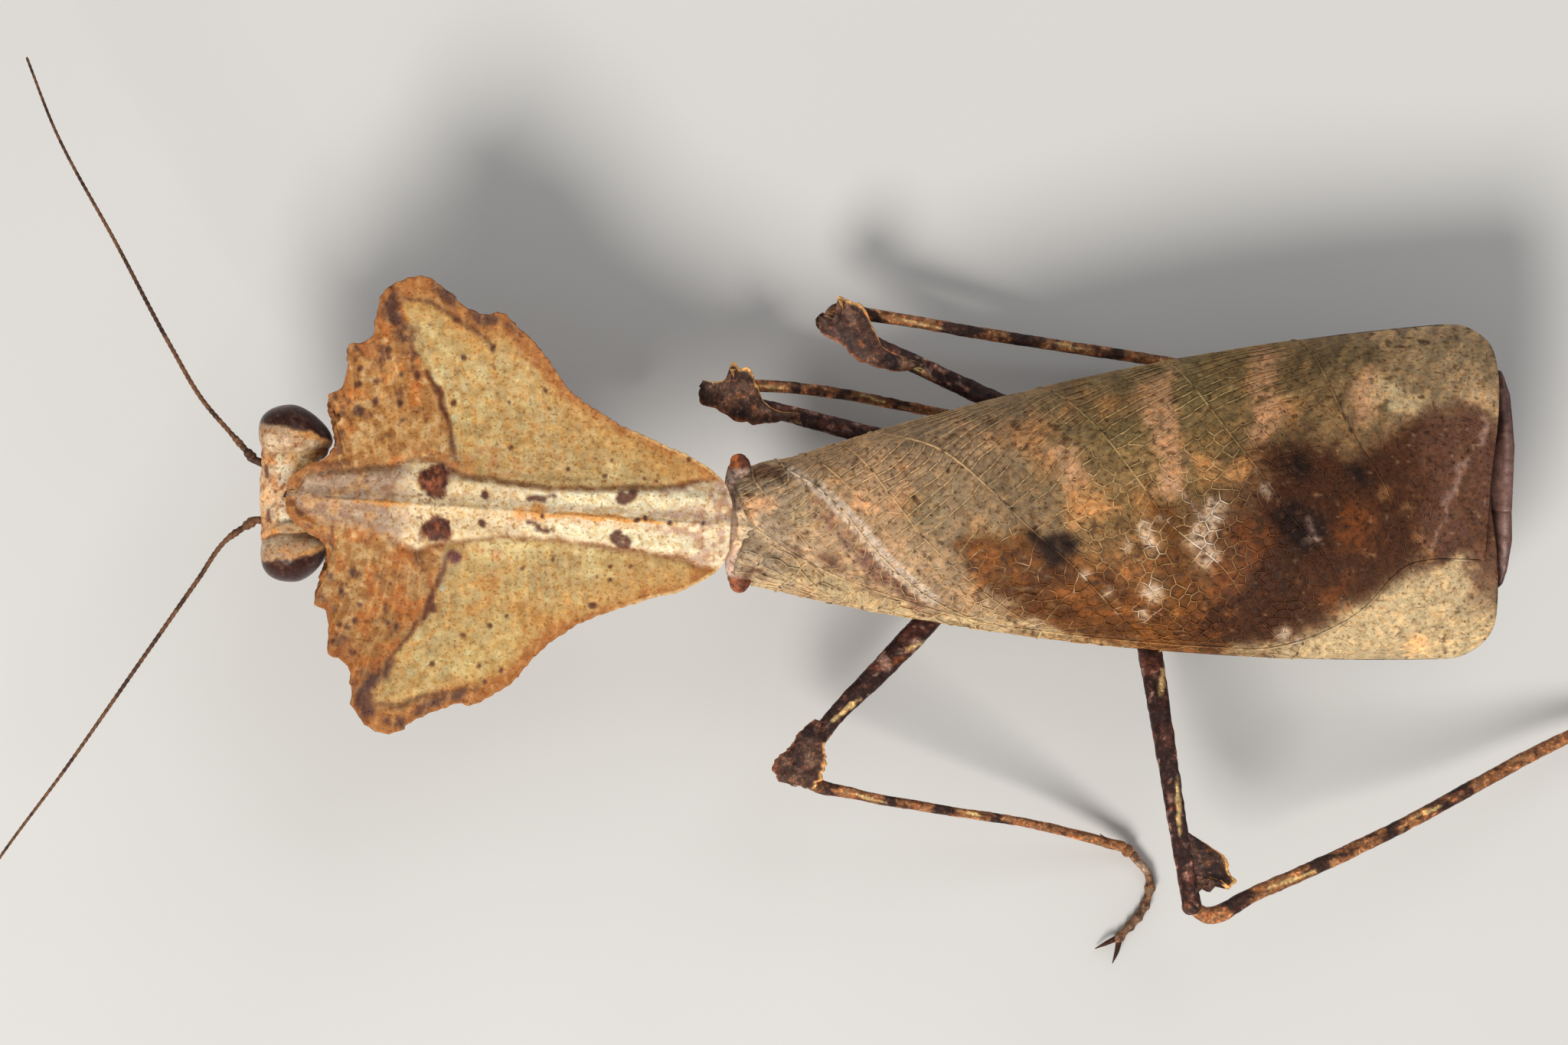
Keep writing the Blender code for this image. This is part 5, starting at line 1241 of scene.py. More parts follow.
def thorax():
    """The wing-bearing thorax, with the small ridged plate and the horned wing roots on top."""
    lower = [(-2.9, -0.4, 8.8, 0.9, 0.9), (-2.5, -0.4, 8.6, 1.9, 1.5), (-1.4, -0.35, 8.3, 2.8, 2.0),
             (1.5, -0.2, 7.9, 3.5, 2.2), (4.4, 0.0, 7.8, 3.9, 2.25), (7.4, 0.15, 8.1, 3.5, 1.8),
             (10.6, 0.3, 7.9, 4.0, 2.0), (12.6, 0.4, 8.2, 3.3, 1.6), (13.5, 0.5, 8.4, 2.2, 1.0)]
    upper = [(-2.9, -0.4, 10.6, 1.2, 1.6), (-2.0, -0.4, 10.1, 1.4, 2.1), (2.0, -0.2, 9.7, 1.5, 1.9),
             (8.0, 0.2, 9.9, 2.6, 2.3), (13.2, 0.45, 10.2, 3.1, 2.5), (13.6, 0.5, 10.2, 2.4, 1.9)]
    shapes = [closed(ellipse_rings(smooth(rows, 40), 40)) for rows in (lower, upper)]
    shapes.append(closed(egg((-2.5, -0.35, 12.7), (1.2, 2.5, 1.05))))
    waist = [(12.3, 0.4, 8.3, 2.4, 1.25), (13.9, 0.5, 8.35, 2.2, 1.2), (15.2, 0.55, 8.5, 2.2, 1.2)]
    shapes.append(closed(rod(waist, 24, 20)))
    for y, top in ((-0.35, 13.68), (-1.3, 13.52), (0.6, 13.52)):
        crest = [(-3.3, y, top, 0.16, 0.2), (-1.7, y, top - 0.05, 0.16, 0.2)]
        shapes.append(closed(rod(crest, 12, 12)))
    points, up, faces = fused(shapes, 0.13)
    below = 1 - ease(points[:, 2], 11.0, 12.0)
    lift = 0.07 * clouds(points, 0.9, 71)
    lift -= below * (0.12 * hump((points[:, 0] + 40) % 2.4, 1.2, 0.25) + 0.2 * hump(points[:, 0], 7.2, 0.5))
    points = points + up * lift[:, None]
    mid, fine = clouds(points, 1.0, 72), clouds(points, 0.4, 73)
    tint = paint(np.zeros(points.shape) + (140, 98, 66), (92, 58, 40), ease(mid, 0, 0.6))
    tint = paint(tint, (214, 184, 160), 0.95 * ease(points[:, 2], 11.4, 12.4))
    tint = paint(tint, (176, 138, 118), 0.5 * ease(points[:, 2], 11.4, 12.4) * ease(fine - mid, 0.2, 0.9))
    tint = paint(tint, (232, 208, 166), 0.8 * ease(points[:, 2], 13.45, 13.65))
    skin = Skin()
    skin.add((points, [faces]), tint)
    for side in (-1, 1):
        y = 4.4 if side > 0 else -4.5
        horn = [(-3.0, y - side * 2.6, 12.0, 0.75, 0.9), (-3.0, y - side * 1.8, 11.9, 0.82, 0.7),
                (-2.9, y - side * 1.1, 12.0, 0.8, 0.55), (-2.88, y - side * 0.7, 12.1, 0.72, 0.48),
                (-2.96, y - side * 0.32, 12.12, 0.52, 0.36)]
        rings = rod(horn, 24, 30)
        out = unit(rings - rings.mean(axis=1, keepdims=True))
        rings = rings + out * (0.05 * clouds(rings, 0.5, 74))[..., None]
        bright = ease(clouds(rings, 0.5, 75), -0.1, 0.5)
        red = paint(np.zeros(rings.shape) + (136, 80, 56), (198, 110, 54), bright)
        red = paint(red, (96, 54, 40), 0.8 * ease(rings[..., 0], -3.0, -2.6))
        red = paint(red, (206, 178, 160), 1 - ease(side * (rings[..., 1] - y), -1.2, -0.7))
        skin.add_rings(rings, red)
    skin.piece("pterothorax_skin", BODY_COAT, "pterothorax", "pterothorax")


ABDOMEN_SEGMENTS = 8


def abdomen():
    """Eight overlapping segments, each ending in a small leafy point at its sides."""
    rows, lobes, parts = [], [], []
    starts = np.linspace(14.1, 41.0, ABDOMEN_SEGMENTS + 1)
    for n in range(ABDOMEN_SEGMENTS):
        for t in np.linspace(0.0, 0.98, 14):
            flare = 0.93 + 0.11 * t
            if n == 0:
                flare *= math.sqrt(1 - 0.92 * (1 - min(t / 0.3, 1)) ** 2)
            if n == ABDOMEN_SEGMENTS - 1:
                flare *= 1 - 0.32 * t * t
            x = starts[n] + (starts[n + 1] - starts[n]) * t
            half, middle, base, rise = (float(v) for v in sleeve(x))
            taper = 1 - 0.55 * float(ease(x, 30, 43))
            swell = 0.75 + 0.25 * float(ease(x, 14, 20))
            bottom = 6.8 - 1.4 * float(ease(x, 19, 28)) + 1.8 * float(ease(x, 33, 42))
            top = base + (rise - 3.35) - 3.2 * float(ease(x, 34, 43))
            rows.append((x, middle, (top + bottom) / 2,
                         (half - 3.7) * taper * swell * flare, (top - bottom) / 2 * (flare - 0.03)))
            lobes.append(0.12 * float(ease(t, 0.6, 0.98)))
            parts.append(t)
    tip = rows[-1]
    for step, shrink in ((0.5, 0.85), (0.9, 0.65), (1.3, 0.42), (1.5, 0.2)):
        rows.append((tip[0] + step, tip[1] + 0.04 * step, tip[2], tip[3] * shrink, tip[4] * shrink * 0.9))
        lobes.append(0.0)
        parts.append(0.0)
    rings = ellipse_rings(rows, 72, lobes)
    out = unit(rings - rings.mean(axis=1, keepdims=True))
    rings = rings + out * (0.06 * clouds(rings, 0.8, 76))[..., None]
    mid, fine = clouds(rings, 1.4, 77), clouds(rings, 0.45, 78)
    tint = paint(np.zeros(rings.shape) + (134, 92, 58), (96, 62, 42), ease(mid, 0, 0.7))
    tint = paint(tint, (176, 134, 92), 0.7 * ease(np.array(parts), 0.85, 0.98)[:, None] * np.ones(72))
    tint = paint(tint, (64, 40, 30), 0.7 * ease(fine, 0.3, 0.7))
    skin = Skin()
    skin.add_rings(rings, tint)
    for side in (-1, 1):
        valve = [(41.3, 2.0 + side * 0.45, 7.8, 0.5, 0.45), (42.6, 2.05 + side * 0.45, 7.5, 0.42, 0.35),
                 (43.6, 2.1 + side * 0.35, 7.2, 0.14, 0.14)]
        skin.add_rings(rod(valve, 20, 24), (110, 72, 48))
    skin.piece("abdomen_skin", BODY_COAT, "abdomen", "abdomen")


def cercus(side, name):
    """A flat, jointed tail feeler."""
    rows = smooth([(42.1, 2.0 + side * 2.3, 9.0, 0.5, 0.5), (43.3, 2.05 + side * 2.8, 9.0, 0.6, 0.4),
                   (44.6, 2.1 + side * 3.0, 8.9, 0.35, 0.3)], 48)
    rows[:, 3:] *= (0.9 + 0.12 * np.abs(np.sin(np.arange(48) * math.pi / 6)))[:, None]
    rings = rod(rows, 24, 48)
    tint = paint(np.zeros(rings.shape) + (140, 96, 60), (80, 50, 34), ease(clouds(rings, 0.5, 79), 0, 0.5))
    skin = Skin()
    skin.add_rings(rings, tint)
    skin.piece(name + "_tail", BODY_COAT, name, name)


# Legs. Each segment is rows of x, y, z, half width and half height.


def foreleg(side):
    def rows(points):
        return [(*on_shield(a, side * b, z), w, h) for a, b, z, w, h in points]
    coxa = rows([(19.0, 2.9, 11.0, 1.2, 1.2), (15.6, 3.3, 9.1, 1.15, 1.15),
                 (12.0, 3.8, 7.1, 1.0, 1.0), (8.9, 4.2, 5.4, 0.85, 0.85)])
    femur = rows([(7.6, 4.6, 4.6, 0.75, 0.8), (10.0, 5.3, 4.7, 0.85, 1.3),
                  (14.0, 6.2, 5.2, 0.95, 2.1), (19.0, 6.8, 6.3, 0.9, 1.8),
                  (23.3, 6.7, 7.4, 0.75, 1.05)])
    tibia = rows([(24.2, 6.8, 6.2, 0.7, 0.8), (22.6, 6.9, 4.5, 0.65, 0.8),
                  (19.6, 7.0, 2.3, 0.55, 0.6), (17.0, 7.0, 1.05, 0.42, 0.42)])
    tarsus = rows([(16.1, 7.2, 0.6, 0.42, 0.42), (14.2, 7.1, 0.4, 0.4, 0.45),
                   (12.0, 6.5, 0.4, 0.36, 0.45)])
    return coxa, femur, tibia, tarsus


LEGS = {
    "mid_left": (
        [(3.7, -1.9, 6.1, 1.15, 1.1), (7.4, -2.7, 5.3, 1.05, 1.0), (10.8, -3.4, 4.7, 0.85, 0.85)],
        [(11.4, -3.9, 4.6, 0.8, 0.8), (9.5, -6.3, 5.6, 0.88, 0.8), (6.15, -9.8, 6.8, 0.78, 0.68),
         (3.1, -12.9, 7.9, 0.62, 0.57), (0.9, -16.0, 8.6, 0.62, 0.6)],
        [(1.6, -16.8, 8.25, 0.48, 0.5), (4.5, -17.7, 7.3, 0.38, 0.4), (9.5, -18.7, 5.6, 0.34, 0.35),
         (16.8, -20.0, 3.0, 0.32, 0.33), (22.4, -21.5, 1.0, 0.38, 0.38)],
        [(23.2, -22.1, 0.55, 0.4, 0.42), (24.3, -23.6, 0.4, 0.38, 0.45),
         (24.0, -25.4, 0.4, 0.36, 0.45), (22.2, -27.7, 0.4, 0.34, 0.45)],
    ),
    "hind_left": (
        [(13.2, -1.6, 5.2, 1.1, 1.0), (18.0, -2.5, 4.9, 1.05, 1.0), (22.4, -3.1, 4.7, 0.85, 0.85)],
        [(23.4, -3.7, 4.6, 0.87, 0.85), (24.0, -8.6, 6.3, 0.85, 0.76),
         (24.7, -13.6, 8.0, 0.74, 0.66), (25.5, -19.2, 9.4, 0.66, 0.6), (26.4, -24.8, 10.6, 0.64, 0.6)],
        [(27.2, -25.4, 10.2, 0.55, 0.55), (30.6, -24.1, 9.4, 0.52, 0.52),
         (38.9, -20.6, 6.6, 0.5, 0.5), (51.8, -14.2, 2.4, 0.45, 0.45), (55.6, -12.6, 1.1, 0.4, 0.4)],
        [(56.6, -12.2, 0.6, 0.4, 0.42), (59.8, -11.3, 0.4, 0.4, 0.45),
         (62.4, -10.6, 0.4, 0.36, 0.45), (65.4, -9.6, 0.4, 0.34, 0.45)],
    ),
    "mid_right": (
        [(3.7, 1.9, 6.1, 1.15, 1.1), (7.4, 2.9, 5.3, 1.05, 1.0), (10.8, 3.6, 4.7, 0.85, 0.85)],
        [(11.5, 4.1, 4.6, 0.8, 0.8), (6.0, 5.6, 5.6, 0.7, 0.7), (-0.5, 7.3, 6.5, 0.6, 0.58),
         (-5.0, 8.4, 7.1, 0.62, 0.6)],
        [(-4.1, 8.8, 6.2, 0.44, 0.44), (-1.2, 8.95, 5.4, 0.42, 0.42), (2.8, 8.6, 4.4, 0.4, 0.4),
         (8.9, 7.5, 2.7, 0.36, 0.36), (15.4, 6.2, 1.0, 0.38, 0.38)],
        [(16.4, 6.0, 0.58, 0.4, 0.42), (19.1, 5.5, 0.4, 0.38, 0.45), (22.4, 4.7, 0.4, 0.34, 0.45)],
    ),
    "hind_right": (
        [(13.2, 1.8, 5.2, 1.1, 1.0), (18.0, 2.8, 4.9, 1.05, 1.0), (22.2, 3.4, 4.7, 0.85, 0.85)],
        [(22.9, 4.1, 4.6, 0.85, 0.85), (16.0, 7.0, 5.3, 0.72, 0.72), (9.0, 10.2, 5.9, 0.64, 0.62),
         (2.7, 13.1, 6.4, 0.62, 0.6)],
        [(3.4, 13.9, 5.6, 0.48, 0.48), (5.9, 13.6, 5.0, 0.44, 0.44), (14.6, 12.2, 3.7, 0.42, 0.42),
         (24.1, 10.8, 2.2, 0.4, 0.4), (33.4, 9.1, 1.0, 0.38, 0.38)],
        [(34.4, 8.9, 0.58, 0.4, 0.42), (37.5, 8.3, 0.4, 0.38, 0.45), (41.0, 7.4, 0.4, 0.34, 0.45)],
    ),
}
# The two edges of each leafy knee lobe, seen from above, and its height where they start and end.
KNEE_LOBES = {
    "mid_left": (
        [(2.0, -12.8), (1.15, -13.5), (.2, -14.8), (-.72, -15.75), (-.6, -16.4), (-.35, -16.85)],
        [(2.6, -13.0), (2.5, -13.7), (2.65, -14.5), (2.65, -15.9), (2.4, -16.7), (2.0, -17.3)], 8.3, 9.1),
    "hind_left": (
        [(25.3, -19.2), (25.6, -21.4), (25.9, -23.2), (26.2, -24.4)],
        [(26.2, -20.1), (27.5, -20.9), (28.1, -21.3), (28.75, -21.9), (28.9, -22.6), (29.25, -23.4),
         (28.9, -23.8), (28.2, -23.5), (27.5, -23.4), (26.9, -23.9)], 9.6, 10.7),
    "mid_right": (
        [(-5.45, 8.8), (-5.45, 7.8), (-4.5, 7.4), (-3.45, 6.8), (-2.5, 6.5), (-.8, 6.5), (1.05, 7.0)],
        [(-5.3, 9.3), (-4.2, 9.2), (-3.6, 9.6), (-3.45, 10.35), (-3.2, 10.5), (-2.85, 10.1), (-2.5, 10.1),
         (-2.05, 9.7), (-1.7, 8.8), (-1.4, 8.1), (-.8, 7.5), (1.1, 7.15)], 7.85, 6.95),
    "hind_right": (
        [(2.2, 13.4), (2.3, 12.9), (2.46, 12.3), (2.9, 12.05), (3.4, 11.8), (3.9, 11.4), (4.4, 10.9),
         (4.9, 10.5), (5.6, 10.3), (6.4, 10.1), (7.45, 9.85), (9.1, 10.25)],
        [(2.3, 13.6), (2.8, 13.5), (3.25, 13.35), (3.5, 13.9), (3.55, 14.8), (4.2, 14.7), (5.2, 14.2),
         (5.6, 13.4), (6.1, 12.2), (6.5, 11.5), (7.7, 10.95), (9.15, 10.4)], 7.2, 6.4),
}
DARK_HIDE, TAN_HIDE = (50, 33, 30), (132, 90, 58)
PALE_STREAKS = {  # place along the segment, half length and place round it, from 0 to 1
    "femur": [(0.35, 0.045, 0.16), (0.7, 0.08, 0.2)],
    "tibia": [(0.23, 0.06, 0.28), (0.53, 0.045, 0.22)],
}
DARK_BANDS = [(0.12, 0.02), (0.3, 0.028), (0.45, 0.03), (0.61, 0.022)]


def hide(rings, kind, seed):
    """Colours of a leg segment: blotches and streaks drawn out along it, and bands on a tibia."""
    count, sides = rings.shape[:2]
    middle = rings.mean(axis=1)
    reach = np.concatenate([[0], np.cumsum(np.linalg.norm(np.diff(middle, axis=0), axis=1))])
    t = (reach / reach[-1])[:, None] * np.ones(sides)
    turn = (np.arange(sides) / sides)[None, :] * np.ones((count, 1))
    long = np.stack([reach[:, None] / 2.2 + 0 * turn, 0.9 * np.cos(turn * 2 * math.pi),
                     0.9 * np.sin(turn * 2 * math.pi)], axis=-1)
    streaky, specky = clouds(long, 0.5, seed), clouds(rings, 0.4, seed + 3)
    blotch = clouds(rings, 1.5, seed + 6)
    if kind == "tibia":
        tint = np.zeros(rings.shape) + TAN_HIDE
        tint = paint(tint, (182, 132, 88), 0.75 * ease(streaky, 0.0, 0.6))
        lower = ease(t, 0.6, 0.7)
        tint = paint(tint, (78, 48, 34), 0.85 * ease(-streaky + 0.5 * specky - 0.3 * lower, 0.1, 0.6))
        tint = paint(tint, (54, 34, 30), 0.8 * ease(blotch + 0.4 * streaky - 0.4 * lower, 0.35, 0.8))
        for place, half in DARK_BANDS:
            band = hump(t + 0.03 * blotch + 0.02 * streaky, place, half * 1.5)
            tint = paint(tint, (40, 26, 24), 0.85 * ease(band + 0.4 * specky, 0.15, 0.7))
    elif kind == "foot":
        tint = np.zeros(rings.shape) + (116, 88, 66)
        tint = paint(tint, (70, 50, 40), 0.8 * ease(specky, 0.0, 0.5))
        tint = paint(tint, (184, 164, 142), 0.6 * ease(blotch, 0.3, 0.8))
    else:
        tint = np.zeros(rings.shape) + DARK_HIDE
        tint = paint(tint, (100, 60, 48), 0.75 * ease(blotch + 0.6 * streaky, 0.0, 0.7))
        tint = paint(tint, (146, 84, 46), 0.7 * ease(streaky - 0.3 * blotch, 0.45, 0.85))
        tint = paint(tint, (158, 126, 112), 0.75 * ease(specky + 0.7 * streaky, 0.4, 0.75))
    for place, half, way in PALE_STREAKS.get(kind, ()):
        wander = way + 0.25 * (t - place) / half * 0.2
        gap = np.hypot((t - place) / half, (np.abs((turn - wander + 0.5) % 1 - 0.5)) / 0.042)
        tint = paint(tint, (208, 180, 122), 0.9 * (1 - ease(gap + 0.3 * specky + 0.25 * streaky, 0.6, 1.1)))
    return tint


RING_STEP = 0.17  # between the rings of a leg


def limb(skin, rows, kind, seed, sides, knobs=0.07, ridge=0.09):
    """One ridged, knobbly segment."""
    rows = np.array(rows, float)
    long = np.linalg.norm(np.diff(rows[:, :3], axis=0), axis=1).sum()
    rings = rod(rows, sides, max(10, int(long / RING_STEP)))
    middle = rings.mean(axis=1, keepdims=True)
    turn = np.arange(sides) * 2 * math.pi / sides
    out = (rings - middle) * (1 + ridge * np.cos(4 * turn + math.pi))[None, :, None]
    bumps = 0.6 * cloud(rings, 0.55, seed) + 0.5 * cloud(rings, 0.25, seed + 1)
    rings = middle + out + unit(out) * (knobs * bumps)[..., None]
    skin.add_rings(rings, hide(rings, kind, seed))


def joint(skin, place, half, seed, colour=DARK_HIDE):
    rings = egg(place, half, 20, 14)
    out = unit(rings - np.array(place))
    rings = rings + out * (0.06 * cloud(rings, 0.4, seed))[..., None]
    tint = paint(np.zeros(rings.shape) + colour, (150, 100, 66), ease(clouds(rings, 0.5, seed), 0.1, 0.6))
    skin.add_rings(rings, tint)


def spike(skin, base, tip, radius, colour, bend=(0, 0, 0)):
    """A slightly bent spine, its root sunk in what carries it."""
    base, tip = np.array(base, float), np.array(tip, float)
    middle = (base + tip) / 2 + np.array(bend)
    foot = base - unit(tip - base) * radius
    rows = [(*foot, radius, radius), (*base, radius * 0.85, radius * 0.85),
            (*middle, radius * 0.5, radius * 0.5), (*tip, 0.03, 0.03)]
    up = (1, 0, 0) if abs(unit(tip - base)[2]) > 0.8 else (0, 0, 1)
    rings = rod(rows, 8, 10, up)
    shade = np.linspace(0, 1, len(rings))[:, None] * np.ones(8)
    skin.add_rings(rings, paint(np.zeros(rings.shape) + colour, (34, 20, 16), 0.8 * ease(shade, 0.5, 1)))


def row_of_spikes(skin, rows, first, last, count, length, aim, seed):
    """Spines in a row along a segment, long and short by turns."""
    line = smooth(rows, 60)
    draw = np.random.default_rng(seed)
    for n, t in enumerate(np.linspace(first, last, count)):
        row = line[int(t * 59)]
        reach = row[4] if abs(aim[2]) > 0.5 else row[3]
        base = row[:3] + np.array(aim) * reach * 0.85
        long = length * (1.0 if n % 2 else 0.65) * draw.uniform(0.9, 1.1)
        spike(skin, base, base + np.array(aim) * long, 0.16, (120, 76, 44))


def knee_lobe(skin, inner, outer, low, high, seed):
    """A leafy plate near the knee, ragged and pale along its outer edge."""
    one, two = smooth(inner, 81)[:, None], smooth(outer, 81)[:, None]
    v = np.linspace(0, 1, 41)[None, :, None]
    ragged = 0.05 * cloud(flat(np.arange(81) * 0.15, 0.0), 0.6, seed)[:, None, None]
    ragged = ragged + 0.025 * cloud(flat(np.arange(81) * 0.15, 0.0), 0.3, seed + 1)[:, None, None]
    edge = ease(np.abs(v - 0.45), 0.25, 0.55)
    at = one + (two - one) * (0.5 + (v - 0.5) * (1 + 2 * ragged * edge))
    here = flat(at[..., 0], at[..., 1])
    rise = np.linspace(low, high, 81)[:, None] + 0.35 * np.sin(math.pi * v[..., 0])
    top = np.concatenate([at, (rise + 0.09 * clouds(here, 0.7, seed + 2))[..., None]], axis=-1)
    v = v[..., 0]
    mid, fine = clouds(here, 0.9, seed + 3), clouds(here, 0.35, seed + 4)
    tint = paint(np.zeros(top.shape) + (72, 51, 43), (114, 86, 70), ease(mid + 0.4 * fine, 0.0, 0.7))
    tint = paint(tint, (40, 30, 30), 0.8 * ease(-mid + 0.3 * fine, 0.25, 0.7))
    tint = paint(tint, (160, 98, 54), 0.7 * ease(cloud(here, 0.8, seed + 5) + 0.5 * fine, 0.4, 0.8))
    tint = paint(tint, (186, 164, 150), 0.7 * ease(fine - 0.2 * mid, 0.75, 1.0))
    tint = paint(tint, (222, 168, 100), 0.9 * ease(v + 0.02 * fine, 0.9, 0.95))
    tint = paint(tint, (150, 92, 60), 0.7 * (1 - ease(v, 0.03, 0.08)))
    skin.add_leaf(top, 0.45, tint)


def foot(skin, rows, seed):
    """Five joints of a tarsus, level with the floor, and two claws."""
    beads = smooth(rows, 90)
    t = np.linspace(0, 1, 90)
    swell = sum(np.exp(-(((t - j + 0.03) / 0.035) ** 2)) for j in (0.42, 0.6, 0.74, 0.86, 1.0))
    beads[:, 3:] *= (0.72 + 0.36 * swell)[:, None]
    rings = rod(beads, 20, 90)
    middle = rings.mean(axis=1, keepdims=True)
    rings = rings + unit(rings - middle) * (0.03 * clouds(rings, 0.3, seed))[..., None]
    rings[..., 2] = np.maximum(rings[..., 2], 0.0)
    skin.add_rings(rings, hide(rings, "foot", seed))
    end, back = beads[-1, :3], beads[-6, :3]
    ahead = unit(end - back)
    across = np.cross(ahead, (0, 0, 1))
    for side in (-1, 1):
        knuckle = end + ahead * 0.7 + across * side * 0.45 + (0, 0, 0.3)
        tip = knuckle + ahead * 0.75 + across * side * 0.3 - (0, 0, 0.4)
        root = end + across * side * 0.11 + (0, 0, 0.05)
        claw = [(*root, 0.2, 0.2), (*knuckle, 0.15, 0.15), (*tip, 0.03, 0.03)]
        rings = rod(claw, 12, 20)
        rings[..., 2] = np.maximum(rings[..., 2], 0.0)
        skin.add_rings(rings, (62, 38, 28))


def leg(key, rows, seed):
    """A whole leg as one piece: hip, thigh, shin and foot, with joints, lobes and spines."""
    coxa, femur, tibia, tarsus = rows
    sign = 1 if "right" in key else -1
    skin = Skin()
    out = np.cross(np.array(femur[-1][:3]) - np.array(femur[0][:3]), (0, 0, 1.0))
    out /= np.linalg.norm(out)
    limb(skin, coxa, "coxa", seed, 28)
    limb(skin, femur, "femur", seed + 10, 28)
    limb(skin, [(*femur[-1][:3], 0.4, 0.4), *tibia], "tibia", seed + 20, 20, 0.05, 0.06)
    hip = (np.array(coxa[-1][:3]) + np.array(femur[0][:3])) / 2
    size = femur[0][3]
    joint(skin, hip, (size * 1.05, size * 1.05, size), seed + 30)
    joint(skin, femur[-1][:3], (femur[-1][3] * 0.98,) * 3, seed + 31)
    ankle = (np.array(tibia[-1][:3]) + np.array(tarsus[0][:3])) / 2
    joint(skin, (ankle[0], ankle[1], max(ankle[2], 0.42)), (0.42, 0.42, 0.4), seed + 32, TAN_HIDE)
    foot(skin, tarsus, seed + 40)
    if key.startswith("fore"):
        row_of_spikes(skin, coxa, 0.25, 0.85, 6, 0.7, (0, 0, -1), seed)
        for way, count, long in ((1, 12, 1.0), (-1, 9, 0.9)):
            aim = (way * out[0] * 0.45, way * out[1] * 0.45, -0.89)
            row_of_spikes(skin, femur, 0.3, 0.88, count, long, aim, seed + way)
        row_of_spikes(skin, tibia, 0.25, 0.8, 14, 0.5, (0.94, -0.06, 0.33), seed + 2)
        tip = np.array(tibia[-1][:3])
        spike(skin, tip, tip + (1.4, -1.2 * sign, -0.3), 0.34, (110, 66, 40), (0, 0, -0.15))
    else:
        knee_lobe(skin, *KNEE_LOBES[key], seed + 50)
        row_of_spikes(skin, tibia, 0.9, 0.97, 2, 0.6, (out[0], out[1], 0.0), seed + 3)
    nodes = [part + "_" + key for part in ("coxa", "femur", "tibia", "tarsus")]
    skin.piece("leg_" + key, LEG_COAT, "femur_" + key, *nodes)


# Floor, light and camera


def studio():
    """A plain pale floor, soft light and a camera straight above."""
    scene = bpy.context.scene
    mesh = bpy.data.meshes.new("floor")
    size, drop = 0.8, -0.00003
    corners = [(-size, -size, drop), (size, -size, drop), (size, size, drop), (-size, size, drop)]
    mesh.from_pydata(corners, [], [(0, 1, 2, 3)])
    floor = bpy.data.objects.new("floor", mesh)
    scene.collection.objects.link(floor)
    paper = bpy.data.materials.new("pale_floor")
    paper.use_nodes = True
    shader = paper.node_tree.nodes["Principled BSDF"]
    grain = paper.node_tree.nodes.new("ShaderNodeTexNoise")
    grain.inputs["Scale"].default_value = 60
    ramp = paper.node_tree.nodes.new("ShaderNodeValToRGB")
    ramp.color_ramp.elements[0].color = (0.62, 0.61, 0.59, 1)
    ramp.color_ramp.elements[1].color = (0.66, 0.65, 0.63, 1)
    paper.node_tree.links.new(grain.outputs["Fac"], ramp.inputs["Fac"])
    paper.node_tree.links.new(ramp.outputs["Color"], shader.inputs["Base Color"])
    shader.inputs["Roughness"].default_value = 0.9
    mesh.materials.append(paper)

    for name, place, size, power, colour in (
        ("key", (-0.16, -0.44, 0.5), 0.3, 4.6, (1.0, 0.97, 0.93)),
        ("fill", (0.25, 0.45, 0.5), 0.5, 1.0, (0.94, 0.96, 1.0)),
    ):
        light = bpy.data.lights.new(name, "AREA")
        light.shape, light.size, light.energy, light.color = "DISK", size, power, colour
        lamp = bpy.data.objects.new(name, light)
        lamp.location = place
        aim = np.array(place) - (0.0, 0.0, 0.01)
        lamp.rotation_euler = (math.atan2(math.hypot(*aim[:2]), aim[2]), 0,
                               math.atan2(aim[0], -aim[1]))
        scene.collection.objects.link(lamp)
    world = bpy.data.worlds.new("studio")
    world.use_nodes = True
    world.node_tree.nodes["Background"].inputs["Color"].default_value = (1, 1, 1, 1)
    world.node_tree.nodes["Background"].inputs["Strength"].default_value = 0.36
    scene.world = world

    lens = bpy.data.cameras.new("camera")
    lens.lens, lens.sensor_width = 135.24, 36.0
    camera = bpy.data.objects.new("camera", lens)
    camera.location = (-0.00723, -0.00036, 0.392)
    scene.collection.objects.link(camera)
    scene.camera = camera
    scene.view_settings.view_transform = "Standard"


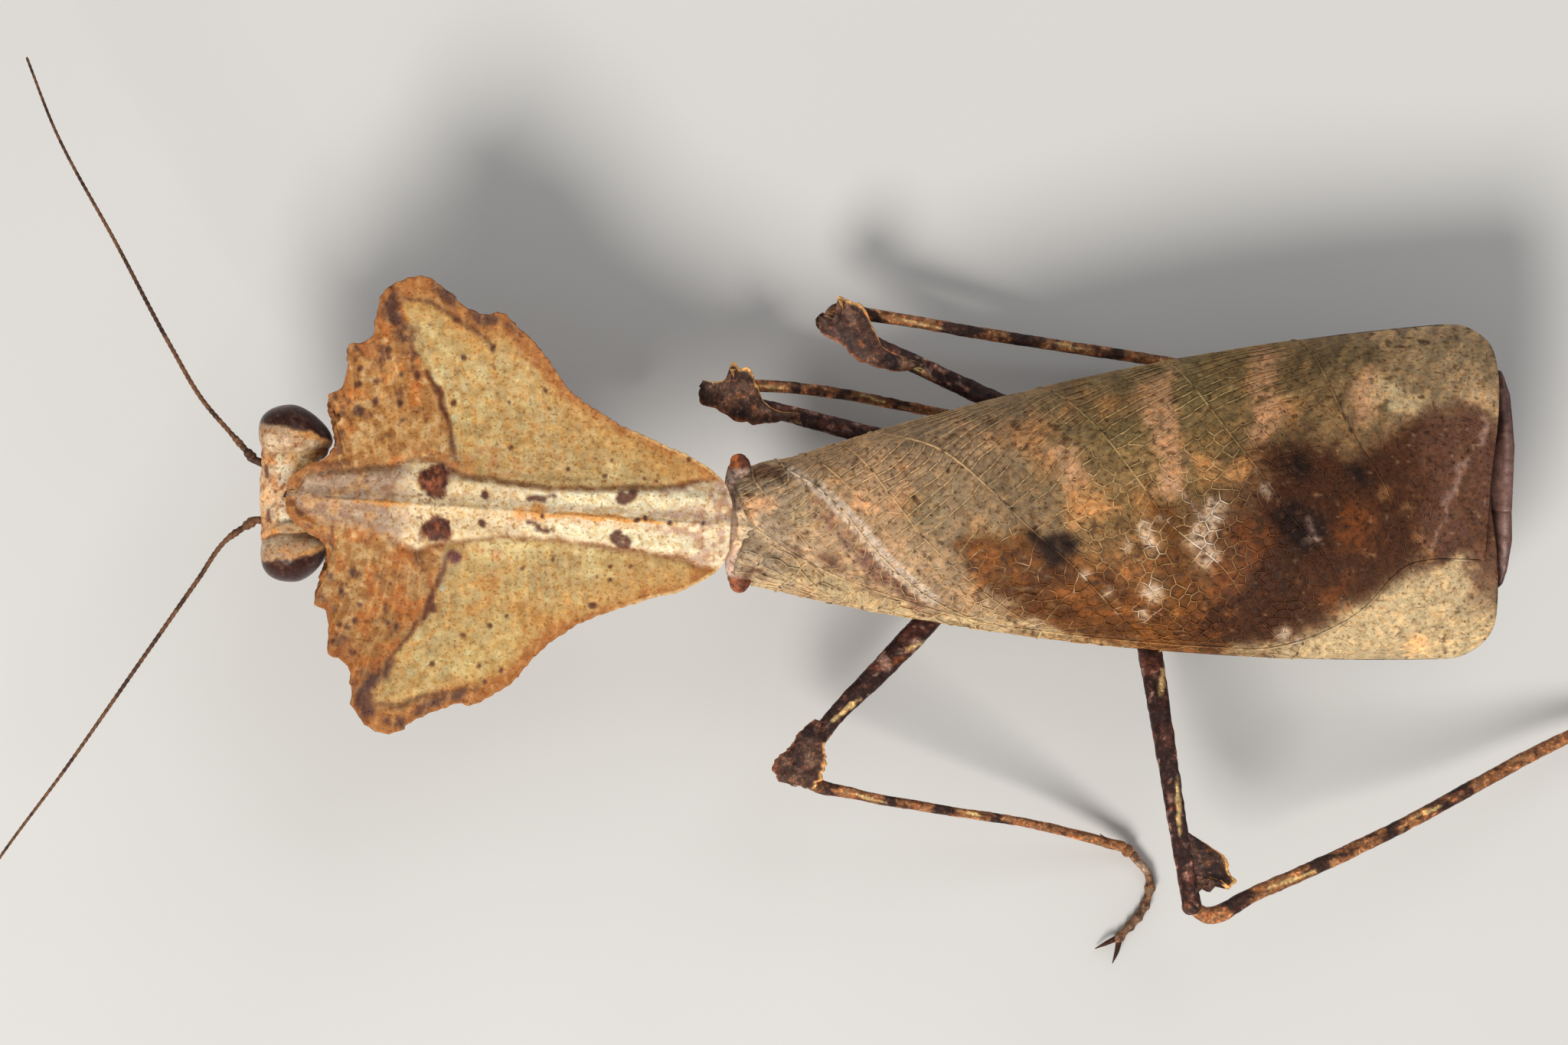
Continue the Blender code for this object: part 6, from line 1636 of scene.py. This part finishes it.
SHIELD_COAT = coat("shield", 0.62, 0.12, 0.1, 0.5, 0.05, [
    (0.5, 0.45, (1.1, 1.14, 1.16)), (0.4, 0.45, (0.9, 0.78, 0.62)), (0.2, 0.12, (0.66, 0.56, 0.48))], 0.25)
WING_COAT = coat("wing", 0.58, 0.1, 0.12, 0.5, 0.03, [
    (0.5, 0.4, (1.25, 1.16, 1.05)), (0.3, 0.4, (0.78, 0.7, 0.62)), (0.24, 0.1, (0.45, 0.38, 0.34))], 0.12)
VEIN_COAT = coat("vein", 0.55, 0.1, 0.12, 0.4, 0.02, [(0.4, 0.3, (0.66, 0.6, 0.54))], 0.15)
FAN_COAT = coat("fan", 0.4, 0.12, 0.15, 0.5, 0.03, [(0.4, 0.3, (1.3, 1.2, 1.2))], 0.3, 0.08)
HEAD_COAT = coat("head", 0.5, 0.09, 0.12, 0.35, 0.04, [
    (0.5, 0.4, (1.1, 0.97, 0.84)), (0.3, 0.45, (1.12, 1.2, 1.24)), (0.22, 0.25, (0.62, 0.5, 0.42))], 0.3)
EYE_COAT = coat("eye", 0.24, 0.06, 0.2, 0.3, 0.012, [
    (0.3, 0.4, (0.7, 0.62, 0.58)), (0.16, 0.3, (1.35, 1.2, 1.1))], 0.1)
FEELER_COAT = coat("feeler", 0.55, 0.1, 0.25, 0.4, 0.03, [(0.3, 0.4, (0.6, 0.55, 0.5))], 0.2)
BODY_COAT = coat("body", 0.6, 0.12, 0.15, 0.5, 0.05, [
    (0.5, 0.4, (1.3, 1.22, 1.15)), (0.28, 0.35, (0.55, 0.46, 0.42))], 0.2)
LEG_COAT = coat("leg", 0.55, 0.11, 0.2, 0.4, 0.06, [
    (0.4, 0.35, (0.5, 0.44, 0.42)), (0.5, 0.28, (1.5, 1.25, 1.1)), (0.2, 0.3, (2.4, 2.2, 2.1))], 0.2)

pronotum()
head()
thorax()
abdomen()
for side_name, sign in (("left", -1), ("right", 1)):
    eye(sign, "eye_" + side_name)
    antenna(sign, "antenna_" + side_name)
    fore_wing(sign, "tegmen_" + side_name, 5 + sign)
    hind_wing(sign, "hindwing_" + side_name)
    cercus(sign, "cercus_" + side_name)
    leg("fore_" + side_name, foreleg(sign), 200 + 60 * sign)
for number, (key, rows) in enumerate(LEGS.items()):
    leg(key, rows, 400 + 60 * number)
studio()
